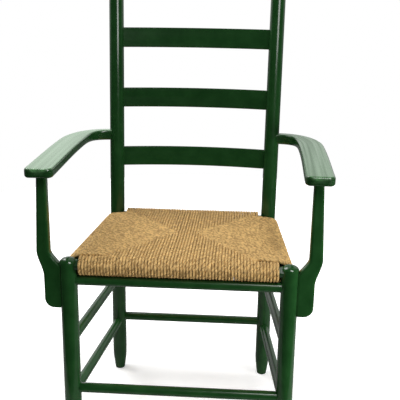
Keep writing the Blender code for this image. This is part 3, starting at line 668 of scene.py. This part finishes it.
def jitter(paths, amount):
    """Small random moves of whole strands and slow waves along them, so that no two lie alike."""
    count, steps = paths.shape[:2]
    phase = rng.uniform(0, 2 * math.pi, (count, 1, 3))
    wave = np.sin(np.linspace(0, WAVE_TURN, steps)[None, :, None] + phase)
    return paths + amount * (WAVE_SHARE * wave + SHIFT_SHARE * rng.uniform(-1, 1, (count, 1, 3)))


def tubes(name, paths, sideways, wander=WANDER, fullness=CORD_FULLNESS):
    """Round tubes along paths[k, n] that wander a little. At each point the tube's circle is spanned by the
    direction most sideways to the path and by the one square to both; each strand has its own width."""
    paths = jitter(paths, wander)
    count, steps = paths.shape[:2]
    strand = rng.random(count)
    along = unit(np.gradient(paths, axis=1))
    upward = unit(np.cross(along, sideways))
    across = np.cross(upward, along)
    angle = np.linspace(0, 2 * math.pi, CORD_SIDES, endpoint=False)
    radius = CORD_RADIUS * (fullness + WIDTH_SPREAD * strand)[:, None, None, None]
    ring = np.cos(angle)[:, None] * upward[:, :, None] + np.sin(angle)[:, None] * across[:, :, None]
    points = paths[:, :, None] + radius * ring
    index = np.arange(count * steps * CORD_SIDES).reshape(count, steps, CORD_SIDES)
    quads = ring_quads(index)
    ends = np.concatenate((index[:, 0, ::-1], index[:, -1]))
    piece = put_mesh(name, points.reshape(-1, 3), quads.tolist() + ends.tolist(), CORD_SHARP)
    lay_cord(piece, paths, quads.size)
    mark(piece, "strand", np.repeat(strand, steps * CORD_SIDES))
    pieces[name] = piece
    print(name, count, "strands,", len(piece.data.polygons), "faces")


def lay_cord(piece, paths, corners):
    """Coordinates for the twist at the corners of tubes' faces: length along a strand, share round it."""
    step = np.linalg.norm(np.diff(paths, axis=1), axis=2)
    run = np.concatenate((np.zeros((len(paths), 1)), np.cumsum(step, axis=1)), axis=1)[..., None]
    v = np.arange(CORD_SIDES + 1) / CORD_SIDES
    near, far = run[:, :-1], run[:, 1:]
    corner = np.stack(np.broadcast_arrays(near, v[:-1], near, v[1:], far, v[1:], far, v[:-1]), axis=-1)
    uv = np.zeros((len(piece.data.loops), 2), np.float32)
    uv[:corners] = corner.reshape(-1, 2)
    piece.data.uv_layers.new(name="lay").data.foreach_set("uv", uv.ravel())


print("cord thickness:", 2 * CORD_RADIUS)

# %% [markdown]
# The front and rear strands keep their place across the seat. Sixty-three lie side by side over the
# front rail and fifty-one over the rear one; the seven in the middle run right through and form
# the neck between the side panels. Stuffing lifts the rear ones a little above their rail.

# %% Front, rear and middle strands
FRONT_COUNT, REAR_COUNT, NECK_COUNT = 31, 25, 3
FRONT_HALF, REAR_HALF = 0.1985, 0.1630
FRONT_SEAM_END, FLAP_END, REAR_SEAM_END = 0.010, 0.0085, 0.366
TOP_RUN, LOW_RUN = 12, 8
REAR_LIFT, LIFT_RUN = 0.003, 0.06


def rail_run(x, inner, rail_y, rail_z, outward):
    """Points of strands at fixed x: up out of the seam at inner, over the top, round the rail and back below.
    The stuffing lifts those on the rear rail a little."""
    x, inner = x[:, None], inner[:, None]
    wrap_out, wrap_rise = bevelled_profile() if outward < 0 else wrap_profile()
    lift = REAR_LIFT * (outward > 0)
    wrap_rise = wrap_rise + lift * ease(0.0, wrap_rise.max(), wrap_rise)
    top_y, low_y = strand_runs(inner, rail_y + outward * wrap_out[0], TOP_RUN, LOW_RUN)
    start_y = inner - outward * dive_profile()[0]
    round_y = np.broadcast_to(rail_y + outward * wrap_out, (x.size, wrap_out.size))
    y = np.concatenate((start_y, top_y, round_y, low_y, start_y[:, ::-1]), axis=1)
    top_z = seat_top(x + 0 * top_y, top_y) + lift * ease(LIFT_RUN, 0.0, np.abs(rail_y - top_y))
    z = strand_levels(top_z, rail_z + wrap_rise, seat_low(x + 0 * low_y, low_y))
    return xyz(x, FRONT_Y + y, z)


def over_rail(half, count):
    """Evenly spaced places of strands from -half to half over a rail, without those of the neck."""
    number = np.arange(-count, count + 1)
    return np.linspace(-half, half, number.size)[np.abs(number) > NECK_COUNT]


def seam_depth(x, seam, half, end):
    """Depth of a seam at places x: straight along it, then on to an end at the outermost strand."""
    return np.interp(np.abs(x), (*seam[0], half), (*seam[1], end))


front_x, rear_x = over_rail(FRONT_HALF, FRONT_COUNT), over_rail(REAR_HALF, REAR_COUNT)
front_end = seam_depth(front_x, FRONT_SEAM, FRONT_HALF, FRONT_SEAM_END) - DIVE / 2
front_end = np.where(np.abs(front_x) > FLAP, FLAP_END, front_end)
rear_end = seam_depth(rear_x, REAR_SEAM, REAR_HALF, REAR_SEAM_END) + DIVE / 2
tubes("weave_front", rail_run(front_x, front_end, FRONT_RAIL_Y, FRONT_RAIL_Z, -1), (1.0, 0.0, 0.0))
tubes("weave_rear", rail_run(rear_x, rear_end, REAR_RAIL_Y, REAR_RAIL_Z, 1), (-1.0, 0.0, 0.0), fullness=0.98)

middle = np.arange(-NECK_COUNT, NECK_COUNT + 1)
middle_y = np.full(middle.size, SEAT_MIDDLE_Y)
near_half = rail_run(middle * FRONT_HALF / FRONT_COUNT, middle_y, FRONT_RAIL_Y, FRONT_RAIL_Z, -1)
far_half = rail_run(middle * REAR_HALF / REAR_COUNT, middle_y, REAR_RAIL_Y, REAR_RAIL_Z, 1)
skip = dive_profile()[0].size
joined = np.concatenate((near_half[:, :skip:-1], far_half[:, skip:]), axis=1)
tubes("weave_neck", joined, (-1.0, 0.0, 0.0), wander=0.00018)

# %% [markdown]
# The side strands start behind the front post and then spread forward, so that the first ones lie
# over the ends of the front strands as a small flap. Their depth is blended from the place on the
# rail to the place at the seam over the first fourteen millimetres. Toward the rear they stand
# further off their rail, which gives the seat its square rear corners.

# %% Side strands
SIDE_COUNT = 54
SIDE_ON_RAIL = (0.0260, 0.3590)
SIDE_STAND = (0.002, 0.0065)
SIDE_INSIDE = (0.0085, 0.3590)
SPREAD = (0.0, 0.014)
FLAP_LIFT, FLAP_FADE = 0.0062, 0.014
SIDE_TOP_RUN, SIDE_LOW_RUN, SEAMS_MEET = 26, 14, 0.198


def side_run(side):
    """Points of one side's strands: as for a rail run, but x runs and the depth drifts by an eased share.
    They stand off their rail by a distance that grows evenly toward the rear."""
    on_rail = np.linspace(*SIDE_ON_RAIL, SIDE_COUNT)[:, None]
    inside = np.linspace(*SIDE_INSIDE, SIDE_COUNT)[:, None]
    front_x_of = np.interp(inside, FRONT_SEAM[1][::-1], FRONT_SEAM[0][::-1])
    rear_x_of = np.interp(inside, REAR_SEAM[1], REAR_SEAM[0])
    inner = np.where(inside < SEAMS_MEET, front_x_of, rear_x_of) + DIVE / 2
    rail_x, rail_z = side_rail(on_rail)
    wrap_out, wrap_rise = wrap_profile()
    edge = rail_x + wrap_out[0]
    top_x, low_x = strand_runs(inner, edge, SIDE_TOP_RUN, SIDE_LOW_RUN)
    stand = np.interp(on_rail, SIDE_ON_RAIL, SIDE_STAND)
    round_x = rail_x + wrap_out * (1 + stand / wrap_out.max())

    def depth(x):
        """Depth at x: the place on the rail, moved by an eased share to the place at the seam."""
        return on_rail + (inside - on_rail) * ease(*SPREAD, edge - x)

    def flap(x):
        """Lift of the flap: its height times exp(-depth / fade), eased in from the rail."""
        fade = np.exp(-(depth(x) - SIDE_INSIDE[0]) / FLAP_FADE)
        return FLAP_LIFT * fade * ease(*SPREAD, rail_x - x)

    start_x = inner - dive_profile()[0]
    x = np.concatenate((start_x, top_x, round_x, low_x, start_x[:, ::-1]), axis=1)
    round_y = np.broadcast_to(on_rail, round_x.shape)
    y = np.concatenate((depth(start_x), depth(top_x), round_y, depth(low_x), depth(start_x)), axis=1)
    z = strand_levels(seat_top(top_x, depth(top_x)) + flap(top_x), rail_z + wrap_rise,
                      seat_low(low_x, depth(low_x)) - flap(low_x))
    return xyz(side * x, FRONT_Y + y, z)


for word, side in SIDES.items():
    tubes(f"weave_{word}", side_run(side), (0.0, side, 0.0))

# %% [markdown]
# ## Stuffing
# Weavers push folded card between the two layers of cord, so that the seat stays full. A cloth
# simulation could swell these wads, but card is stiff, so a formula is enough. Each of the four is a
# pillow over a triangle: from a middle point on top, rings grow to the triangle's outline while the
# height falls, and they shrink again to a middle point below.

# %% Stuffing skins
HUB = (0.0, SEAT_MIDDLE_Y, 0.4304)
PAD_HALF, PAD_SHARE, PAD_POLE = 0.0085, 0.86, 0.02
PAD_SIDES, PAD_RINGS = 48, 22
PADS = {
    "front": ((-0.190, 0.010, 0.439), (0.190, 0.010, 0.439)),
    "rear": ((-0.160, 0.370, 0.4275), (0.160, 0.370, 0.4275)),
    "left": ((-0.205, 0.016, 0.432), (-0.182, 0.366, 0.423)),
    "right": ((0.205, 0.016, 0.432), (0.182, 0.366, 0.423)),
}


def stuffing_skin(word, base):
    """A pillow: ring share sqrt(sin p) and height sqrt(|cos p|) for p from 0 to pi, over a triangle whose
    outline is walked in even shares of its three sides and drawn in from its corners."""
    corners = np.array((*base, HUB))
    middle = corners.mean(axis=0)
    walk = np.linspace(0, 3, PAD_SIDES, endpoint=False)
    start, share = corners[walk.astype(int)], (walk % 1)[:, None]
    end = np.roll(corners, -1, axis=0)[walk.astype(int)]
    outline = middle + PAD_SHARE * (start + (end - start) * share - middle)
    p = np.linspace(PAD_POLE, math.pi - PAD_POLE, PAD_RINGS)[:, None, None]
    rings = middle + np.sqrt(np.sin(p)) * (outline - middle)
    rings = rings + np.sign(np.cos(p)) * np.sqrt(np.abs(np.cos(p))) * PAD_HALF * UP + (0.0, FRONT_Y, 0.0)
    name = f"stuffing_{word}"
    pieces[name] = skin(name, rings, rings, np.zeros(rings.shape[:2]))


for word, base in PADS.items():
    stuffing_skin(word, base)
print("pieces in all:", len(pieces))

# %% [markdown]
# ## Shared effects for the finishes
# Grain that shows through paint, worn edges and the twist of a cord are each made once as a node
# group. A material places the group, gives it its own numbers and keeps its shader to itself.


# %% Node helpers
def feed(tree, node, values):
    """Give inputs of a node, by number or name, sockets of other nodes or plain values."""
    for label, value in values.items():
        if isinstance(value, bpy.types.NodeSocket):
            tree.links.new(value, node.inputs[label])
        else:
            node.inputs[label].default_value = value


def add_node(tree, kind, values=(), **settings):
    """A shader node of this kind with its own settings and with values for its inputs."""
    node = tree.nodes.new("ShaderNode" + kind)
    for label, setting in settings.items():
        setattr(node, label, setting)
    feed(tree, node, dict(values))
    return node


def math_node(tree, operation, *values):
    """The result of one sum on sockets or plain numbers."""
    return add_node(tree, "Math", enumerate(values), operation=operation).outputs[0]


def times(tree, product, *factors):
    """The product of sockets or plain numbers."""
    for factor in factors:
        product = math_node(tree, "MULTIPLY", product, factor)
    return product


def ranged(tree, value, *limits):
    """A value moved from the range of the first two limits to that of the last two, or to 0 and 1."""
    return add_node(tree, "MapRange", enumerate((value, *limits))).outputs[0]


def noise(tree, place, scale, detail, rough):
    """Smooth noise at a place, by its scale, its detail and how rough that detail is."""
    return add_node(tree, "TexNoise", {0: place, 2: scale, 3: detail, 4: rough}).outputs[0]


def bump(tree, height, depth, strength=1.0):
    """The tilt of a surface whose height varies by a depth in metres."""
    return add_node(tree, "Bump", {0: strength, 1: depth, 3: height}).outputs[0]


print("materials before the first finish:", len(bpy.data.materials))


# %% Group helper
def new_group(name, inputs, outputs):
    """An empty shader node group, its inputs and its output node. An input without a value is a vector."""
    group = bpy.data.node_groups.new(name, "ShaderNodeTree")
    for label, value in inputs.items():
        kind = "NodeSocketVector" if value is None else "NodeSocketFloat"
        socket = group.interface.new_socket(label, in_out="INPUT", socket_type=kind)
        if value is not None:
            socket.default_value = value
    for label in outputs:
        group.interface.new_socket(label, in_out="OUTPUT", socket_type="NodeSocketFloat")
    return group, group.nodes.new("NodeGroupInput").outputs, group.nodes.new("NodeGroupOutput")


print("groups before the first effect:", len(bpy.data.node_groups))

# %% [markdown]
# Grain is noise that is stretched along the wood. An image of grain would end at its borders, while
# noise on the wood's own coordinates runs on over the whole piece. The open pores of the wood stay
# visible as fine lines under a coat of paint, and a slower noise makes the coat uneven.

# %% Grain under paint
GRAIN_LIMITS = (0.32, 0.68)
PORE_NOISE, BAND_NOISE, COAT_NOISE = (3.2, 3.0, 0.6), (0.7, 2.0, 0.5), (26.0, 3.0, 0.55)
grain_group, given, result = new_group(
    "grain_under_paint", {"Vector": None, "Along": 3.0, "Across": 160.0}, ("Pores", "Bands", "Coat"))
split = add_node(grain_group, "SeparateXYZ", {0: given["Vector"]}).outputs
stretched = add_node(grain_group, "CombineXYZ", {
    place: times(grain_group, split[place], given[label])
    for place, label in enumerate(("Along", "Across", "Across"))}).outputs[0]
pores = noise(grain_group, stretched, *PORE_NOISE)
bands = noise(grain_group, stretched, *BAND_NOISE)
coat = noise(grain_group, given["Vector"], *COAT_NOISE)
for label, cloud in (("Pores", pores), ("Bands", bands), ("Coat", coat)):
    feed(grain_group, result, {label: ranged(grain_group, cloud, *GRAIN_LIMITS)})
print("group:", grain_group.name, len(grain_group.nodes), "nodes")

# %% [markdown]
# Hands and clothes rub the paint thin along edges. A material can find edges by how sharply a
# surface turns, but that depends on how fine its mesh is. So the skins carry a mark on their edges,
# and noise breaks that mark up: only parts of an edge are worn.

# %% Worn edges
WEAR_NOISE, WEAR_LIMITS, EDGE_POWER = (48.0, 4.0, 0.6), (0.48, 0.66), 3.0
wear_group, given, result = new_group("worn_edges", {"Vector": None, "Edge": 0.0, "Amount": 0.5}, ("Wear",))
kept = ranged(wear_group, noise(wear_group, given["Vector"], *WEAR_NOISE), *WEAR_LIMITS)
rubbed = math_node(wear_group, "POWER", given["Edge"], EDGE_POWER)
feed(wear_group, result, {"Wear": times(wear_group, rubbed, kept, given["Amount"])})
print("group:", wear_group.name, len(wear_group.nodes), "nodes")

# %% [markdown]
# A cord is laid up from two twisted yarns, so a slanting groove winds round it. Modelling that would
# take thousands of faces for each strand, so the finish carries it. With the length of the cord as
# one coordinate and the way round it as the other, the groove is a sine of both.

# %% Twist of a cord
UNEVEN_TURNS, FIBRES_ROUND = 1.6, 9.0
UNEVEN_NOISE = (55.0, 31.0, 1.0, 1.0, 0.5)
FIBRE_NOISE = (1000.0, 97.0, 0.9, 3.0, 0.6)
TONE_NOISE = (95.0, 57.0, 1.0, 2.0, 0.5)
lay_group, given, result = new_group(
    "cord_twist", {"UV": None, "Strand": 0.5, "Lay": 0.025}, ("Ridge", "Fibre", "Tone"))
along, around, _ = add_node(lay_group, "SeparateXYZ", {0: given["UV"]}).outputs
strand = given["Strand"]


def cord_noise(lengthwise, strandwise, scale, detail, rough, crosswise=0.0):
    """Noise at (lengthwise * length, crosswise, strandwise * strand), so that it differs between strands."""
    place = (times(lay_group, along, lengthwise), crosswise, times(lay_group, strand, strandwise))
    place = add_node(lay_group, "CombineXYZ", enumerate(place)).outputs[0]
    return noise(lay_group, place, scale, detail, rough)


uneven = times(lay_group, cord_noise(*UNEVEN_NOISE), UNEVEN_TURNS)
turns = math_node(lay_group, "ADD", math_node(lay_group, "DIVIDE", along, given["Lay"]), uneven)
phase = math_node(lay_group, "ADD", math_node(lay_group, "ADD", turns, around), strand)
ridge = math_node(lay_group, "SINE", times(lay_group, phase, 2 * math.pi))
feed(lay_group, result, {
    "Ridge": math_node(lay_group, "ABSOLUTE", ridge),
    "Fibre": cord_noise(*FIBRE_NOISE, times(lay_group, phase, FIBRES_ROUND)),
    "Tone": cord_noise(*TONE_NOISE)})
print("group:", lay_group.name, len(lay_group.nodes), "nodes")

# %% [markdown]
# ## Green paint
# The frame is finished with a dark green gloss. One colour with one roughness would look like plastic, so
# both wander here. The coat is thin: grain lines show in its shine. The flat arms mirror the pale backdrop,
# and their tops are also painted paler, a painted sheen for that reflection, in streaks along the grain.
# Slats, front pieces, side rungs and each arm get their own copy of the paint. The front pieces and the side
# rungs are painted lighter and the slats darker: painted light and painted shade for how the lamps reach
# them. The side rungs' copy also shines less, and the arms' copies differ in shine and sheen.


# %% Paint helpers
def new_material(name):
    """An empty node material, its tree and its shader."""
    material = bpy.data.materials.new(name)
    material.use_nodes = True
    return material, material.node_tree, material.node_tree.nodes["Principled BSDF"]


def mixed(tree, share, first, second):
    """One colour blended to another by a share; each is a socket or three numbers."""
    first, second = (colour if isinstance(colour, bpy.types.NodeSocket) else (*colour, 1.0)
                     for colour in (first, second))
    return add_node(tree, "Mix", {0: share, 6: first, 7: second}, data_type="RGBA").outputs[2]


def marked(tree, label):
    """Outputs that read a mark of the skins."""
    return add_node(tree, "Attribute", attribute_name=label).outputs


PAINT_DEEP = (0.0076, 0.0396, 0.0090)
PAINT_LIGHT = (0.0117, 0.0524, 0.0129)
PAINT_WORN = (0.060, 0.085, 0.040)
# The colour of the painted sheen on the arms' tops, which stands for the pale backdrop's reflection.
PAINT_SHEEN = (0.088, 0.225, 0.087)
WEAR, PORE_SHARE = 0.35, 0.6


def paint_material(name, stretch, rough, pores, sheen, shine, painted_light=1.0):
    """Green gloss over wood: colour from the coat, shine from the bands of the grain, relief from its pores.
    Where a skin is marked as a rest, the colour is painted paler toward the sheen colour, by a share that
    follows the grain's bands between two given values: a painted sheen. The shade multiplies the coat's
    colours, which paints a piece lighter or darker for how the lamps reach it."""
    material, tree, shader = new_material(name)
    wood = marked(tree, "grain")["Vector"]
    grain = add_node(tree, "Group", node_tree=grain_group)
    feed(tree, grain, {"Vector": wood, "Along": stretch[0], "Across": stretch[1]})
    worn = add_node(tree, "Group", node_tree=wear_group)
    feed(tree, worn, {"Vector": wood, "Edge": marked(tree, "edge")["Fac"], "Amount": WEAR})
    pore, band, film = (grain.outputs[label] for label in ("Pores", "Bands", "Coat"))
    # The shade paints the whole coat lighter or darker: painted light and shade for how the lamps reach a
    # piece.
    deep, light = (tuple(painted_light * level for level in colour) for colour in (PAINT_DEEP, PAINT_LIGHT))
    # On the arms' tops the colour is painted paler: a painted sheen, in streaks along the grain.
    sheen_share = times(tree, ranged(tree, band, 0.0, 1.0, *sheen), marked(tree, "rest")["Fac"])
    coat = mixed(tree, sheen_share, mixed(tree, film, deep, light), PAINT_SHEEN)
    feed(tree, shader, {
        "Base Color": mixed(tree, worn.outputs["Wear"], coat, PAINT_WORN),
        "Roughness": ranged(tree, band, 0.0, 1.0, *rough),
        "Specular IOR Level": shine,
        "Normal": bump(tree, math_node(tree, "ADD", times(tree, pore, PORE_SHARE), film), pores)})
    return material


print("the coat runs from", PAINT_DEEP, "to", PAINT_LIGHT)

# %% Paints
GLOSS = {"stretch": (3.0, 150.0), "rough": (0.14, 0.20), "pores": 0.00003, "sheen": (0.0, 0.0), "shine": 0.4}
DULL = {**GLOSS, "rough": (0.22, 0.30), "shine": 0.2}
ARM = {"stretch": (2.0, 130.0), "pores": 0.00006, "shine": 0.5}
paint = paint_material("green_paint", **GLOSS)
# Slats are painted darker, front pieces and side rungs lighter: painted shade and painted light for how the
# lamps reach them.
slat_paint = paint_material("green_paint_slats", painted_light=0.94, **GLOSS)
front_paint = paint_material("green_paint_front", painted_light=1.3, **GLOSS)
rung_paint = paint_material("green_paint_side_rungs", painted_light=1.2, **DULL)
# Both arms get a painted sheen on their tops, paler where the grain's bands are smoother.
left_paint = paint_material("green_paint_left_arm", rough=(0.30, 0.18), sheen=(0.5, 1.0), **ARM)
right_paint = paint_material("green_paint_right_arm", rough=(0.42, 0.13), sheen=(0.25, 1.0), **ARM)
print("paint nodes:", len(paint.node_tree.nodes))

# %% [markdown]
# ## Cord, card and steel
# The cord is brown paper, a little different from strand to strand. Its colour is darkened in the grooves of
# its twist, a painted shade, while the bump gives the same grooves their relief. The card of the stuffing is
# dull brown. Brads, pins and screws are steel that has gone grey. Little is seen of card and steel, so one
# helper with plain noise makes both, and the hidden rails' paint too.

# %% Cord material
CORD_PALE = (0.82, 0.535, 0.203)
CORD_DARK = (0.40, 0.248, 0.090)
# The groove colour is painted shade in the grooves of the twist.
CORD_GROOVE_SHADE = (0.22, 0.122, 0.040)
TONE_LIMITS, TONE_SHARE = (0.36, 0.66), 0.65
FIBRE_LIMITS, FIBRE_SHARE, FIBRE_RELIEF = (0.35, 0.7), 0.35, 0.4
GROOVE_SHADE_LIMITS, CORD_RELIEF = (0.55, 0.0, 0.0, 0.8), 0.0012
cord, tree, shader = new_material("twisted_cord")
twist = add_node(tree, "Group", node_tree=lay_group)
lay = add_node(tree, "UVMap", uv_map="lay").outputs[0]
feed(tree, twist, {"UV": lay, "Strand": marked(tree, "strand")["Fac"]})
ridge, fibre, tone = (twist.outputs[label] for label in ("Ridge", "Fibre", "Tone"))
patch = times(tree, ranged(tree, tone, *TONE_LIMITS), TONE_SHARE)
speck = math_node(tree, "MULTIPLY_ADD", ranged(tree, fibre, *FIBRE_LIMITS), FIBRE_SHARE, patch)
body = mixed(tree, speck, CORD_PALE, CORD_DARK)
relief = math_node(tree, "ADD", ridge, times(tree, fibre, FIBRE_RELIEF))
# Where the twist's ridge falls off, the colour turns to the groove colour: painted shade in the grooves.
feed(tree, shader, {
    "Base Color": mixed(tree, ranged(tree, ridge, *GROOVE_SHADE_LIMITS), body, CORD_GROOVE_SHADE),
    "Roughness": 0.72, "Specular IOR Level": 0.3, "Normal": bump(tree, relief, CORD_RELIEF)})
print("cord nodes:", len(tree.nodes))

# %% Card and steel materials
PLAIN_NOISE, PLAIN_RELIEF, PLAIN_STRENGTH = (4.0, 0.6), 0.0002, 0.4


def plain_material(name, first, second, scale, rough, metallic):
    """A finish whose colour and shine wander between two values by noise on Object coordinates."""
    material, tree, shader = new_material(name)
    place = add_node(tree, "TexCoord").outputs["Object"]
    cloud = noise(tree, place, scale, *PLAIN_NOISE)
    feed(tree, shader, {
        "Base Color": mixed(tree, cloud, first, second), "Metallic": metallic,
        "Roughness": ranged(tree, cloud, 0.0, 1.0, *rough),
        "Normal": bump(tree, cloud, PLAIN_RELIEF, PLAIN_STRENGTH)})
    return material


card = plain_material("folded_card", (0.30, 0.21, 0.12), (0.46, 0.34, 0.21), 90.0, (0.8, 0.95), 0.0)
steel = plain_material("grey_steel", (0.30, 0.30, 0.30), (0.55, 0.55, 0.54), 700.0, (0.3, 0.5), 1.0)
hidden_paint = plain_material("green_paint_rails", PAINT_DEEP, PAINT_LIGHT, 60.0, (0.25, 0.4), 0.0)
print("plain finishes:", card.name, steel.name, hidden_paint.name)

# %% [markdown]
# ## Dress the chair
# Each new piece rides on the chair's one body, hides the CAD piece it stands for and takes its finish. Rails,
# brads and pins keep their CAD shape and only get a finish.

# %% Ride, replace and paint
STANDS_FOR = {name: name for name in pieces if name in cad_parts}
STANDS_FOR.update({f"stuffing_{word}": f"seat_pad_{word}" for word in PADS})
STANDS_FOR.update({name: "woven_seat" for name in pieces if name.startswith("weave_")})
FINISHES = (("weave_", cord, "cord"), ("stuffing_", card, "stuffing"), ("support_screw_", steel, "steel"),
            ("arm_left", left_paint, "green_paint"), ("arm_right", right_paint, "green_paint"),
            ("back_slat_", slat_paint, "green_paint"), ("front_", front_paint, "green_paint"),
            ("side_rung_", rung_paint, "green_paint"),
            ("arm_support_", front_paint, "green_paint"), ("", paint, "green_paint"))

for name, piece in pieces.items():
    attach(piece, "root")
    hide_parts(STANDS_FOR[name])
    _, material, slot = next(row for row in FINISHES if name.startswith(row[0]))
    piece.data.materials.append(material)

for name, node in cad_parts.items():
    if not node.hide_render:
        kept = hidden_paint if name.startswith("seat_rail_") else steel
        node.data.materials.clear()
        node.data.materials.append(kept)
        print("kept CAD piece:", name, kept.name)

# %% [markdown]
# ## Studio
# The chair stands on a white sweep. The floor is a real surface that catches a faint shadow, and
# camera rays see white where nothing stands. The main lamp stands at the rear left and draws the
# streak of shadow at the rear foot. A second one stands at the front right, and a low one at the right
# fills the posts on that side without showing in reflections. A tall soft box shows only in
# reflections, as the bright lines on the rear posts. The backdrop shines in the arms, but reflections
# see little of the floor, so the legs stay green at their edges.

# %% Floor
FLOOR_MIDDLE, FLOOR_HUB, FLOOR_REACH, FLOOR_RINGS, FLOOR_SPOKES = 0.95, 0.02, 1.45, 12, 96
aside, back = circle(np.linspace(FLOOR_HUB, FLOOR_REACH, FLOOR_RINGS), FLOOR_SPOKES)
disc = xyz(aside, FLOOR_MIDDLE + back, 0.0)
index = np.arange(aside.size).reshape(aside.shape)
tiles = ring_quads(index)[:, ::-1]
floor = put_mesh("floor", disc.reshape(-1, 3), tiles.tolist() + [index[0].tolist()])


def ray_kinds(tree):
    """Two marks of a ray, each 0 or 1: that it comes from the camera, and that it is in a reflection."""
    path = add_node(tree, "LightPath").outputs
    seen = math_node(tree, "MAXIMUM", path["Is Camera Ray"], path["Is Transmission Ray"])
    return seen, path["Is Glossy Ray"]


FLOOR_GLOW, FLOOR_ALBEDO, FLOOR_MIRRORED, MIRRORED_SHARE = 0.42, 0.90, 0.30, 0.15
# For camera rays the floor glows at 0.42 within 0.27 m of the middle under the chair and rises to full white
# at 0.65 m: painted light that fades the lamps' shadows away from the chair.
GLOW_LIMITS = (0.27, 0.65, FLOOR_GLOW, 1.0)
sweep, tree, shader = new_material("white_sweep")
seen, glossy = ray_kinds(tree)
seen = math_node(tree, "MAXIMUM", seen, times(tree, glossy, MIRRORED_SHARE))
place = add_node(tree, "TexCoord").outputs["Object"]
away = add_node(tree, "VectorMath", {0: place}, operation="LENGTH").outputs["Value"]
feed(tree, shader, {
    "Base Color": mixed(tree, glossy, (FLOOR_ALBEDO,) * 3, (FLOOR_MIRRORED,) * 3),
    "Roughness": 1.0, "Specular IOR Level": 0.0, "Emission Color": (1.0, 1.0, 1.0, 1.0),
    "Emission Strength": times(tree, seen, ranged(tree, away, *GLOW_LIMITS))})
floor.data.materials.append(sweep)
print("floor reach:", FLOOR_REACH)

# %% World
AMBIENT = 0.20
BEHIND, ABOVE = (-0.15, 0.45, 0.0, 1.0), (-0.06, 0.10, MIRRORED_SHARE, 1.0)
ASIDE = (-0.25, 0.12, 1.35, 0.93)
world = bpy.data.worlds.new("studio")
bpy.context.scene.world = world
world.use_nodes = True
tree = world.node_tree
place = add_node(tree, "TexCoord").outputs["Generated"]
toward = add_node(tree, "SeparateXYZ", {0: place}).outputs
seen, glossy = ray_kinds(tree)
backdrop = [ranged(tree, toward[axis], *limits) for axis, limits in ((1, BEHIND), (2, ABOVE), (0, ASIDE))]
plain = times(tree, math_node(tree, "SUBTRACT", 1.0, glossy), AMBIENT)
lit = math_node(tree, "ADD", times(tree, glossy, *backdrop), plain)
feed(tree, tree.nodes["Background"], {
    "Color": (1.0, 1.0, 1.0, 1.0), "Strength": math_node(tree, "MAXIMUM", seen, lit)})
print("world nodes:", len(tree.nodes))


# %% Lamps
def stand(thing, right, upright, back, place):
    """Give a new object its place and the directions of its three axes."""
    bpy.context.scene.collection.objects.link(thing)
    turn = np.eye(4)
    turn[:3] = np.column_stack((right, upright, back, place))
    thing.matrix_world = turn.T


def lamp(name, place, target, size, power):
    """An area lamp at a place, turned so that its beam points at the target."""
    data = bpy.data.lights.new(name, "AREA")
    data.shape = "RECTANGLE"
    data.size, data.size_y = size
    data.energy = power
    light = bpy.data.objects.new(name, data)
    back = unit(np.array(place) - target)
    right = unit(np.cross(UP, back))
    stand(light, right, np.cross(back, right), back, place)
    return light


lamp("rear_left", (-1.20, 0.52, 2.40), (0.0, 0.0, 0.44), (1.3, 1.3), 48.0)
lamp("front_right", (0.64, -1.56, 2.44), (0.0, 0.0, 0.44), (0.9, 0.9), 28.0)
lamp("side_fill", (1.15, -0.50, 0.36), (0.0, 0.0, 0.36), (0.9, 0.35), 11.0).visible_glossy = False
lamp("soft_box", (0.85, -1.55, 1.70), (0.0, 0.2, 0.90), (0.8, 1.1), 30.0).visible_diffuse = False
print("lamps:", [light.name for light in bpy.data.lights])

# %% [markdown]
# ## Camera
# The photograph looks slightly down at the chair, a little from the right, and crops its top and
# front feet. A camera could be moved by eye until the view agrees. This one was fitted to the chair's
# edges in the photograph, with the rungs taken as level.

# %% Camera
CAMERA_PLACE = np.array((0.11995, -1.53086, 0.94567))
YAW, PITCH, ROLL = math.radians(3.422), math.radians(15.536), math.radians(0.850)
forward = np.array((-math.sin(YAW) * math.cos(PITCH), math.cos(YAW) * math.cos(PITCH), -math.sin(PITCH)))
right = np.array((math.cos(YAW), math.sin(YAW), 0.0))
upright = np.cross(right, forward)
data = bpy.data.cameras.new("camera")
data.lens, data.sensor_width = 62.68, 36.0
camera = bpy.data.objects.new("camera", data)
stand(camera, math.cos(ROLL) * right + math.sin(ROLL) * upright,
      math.cos(ROLL) * upright - math.sin(ROLL) * right, -forward, CAMERA_PLACE)
bpy.context.scene.camera = camera
bpy.context.scene.view_settings.view_transform = "Standard"
print("camera at", CAMERA_PLACE)
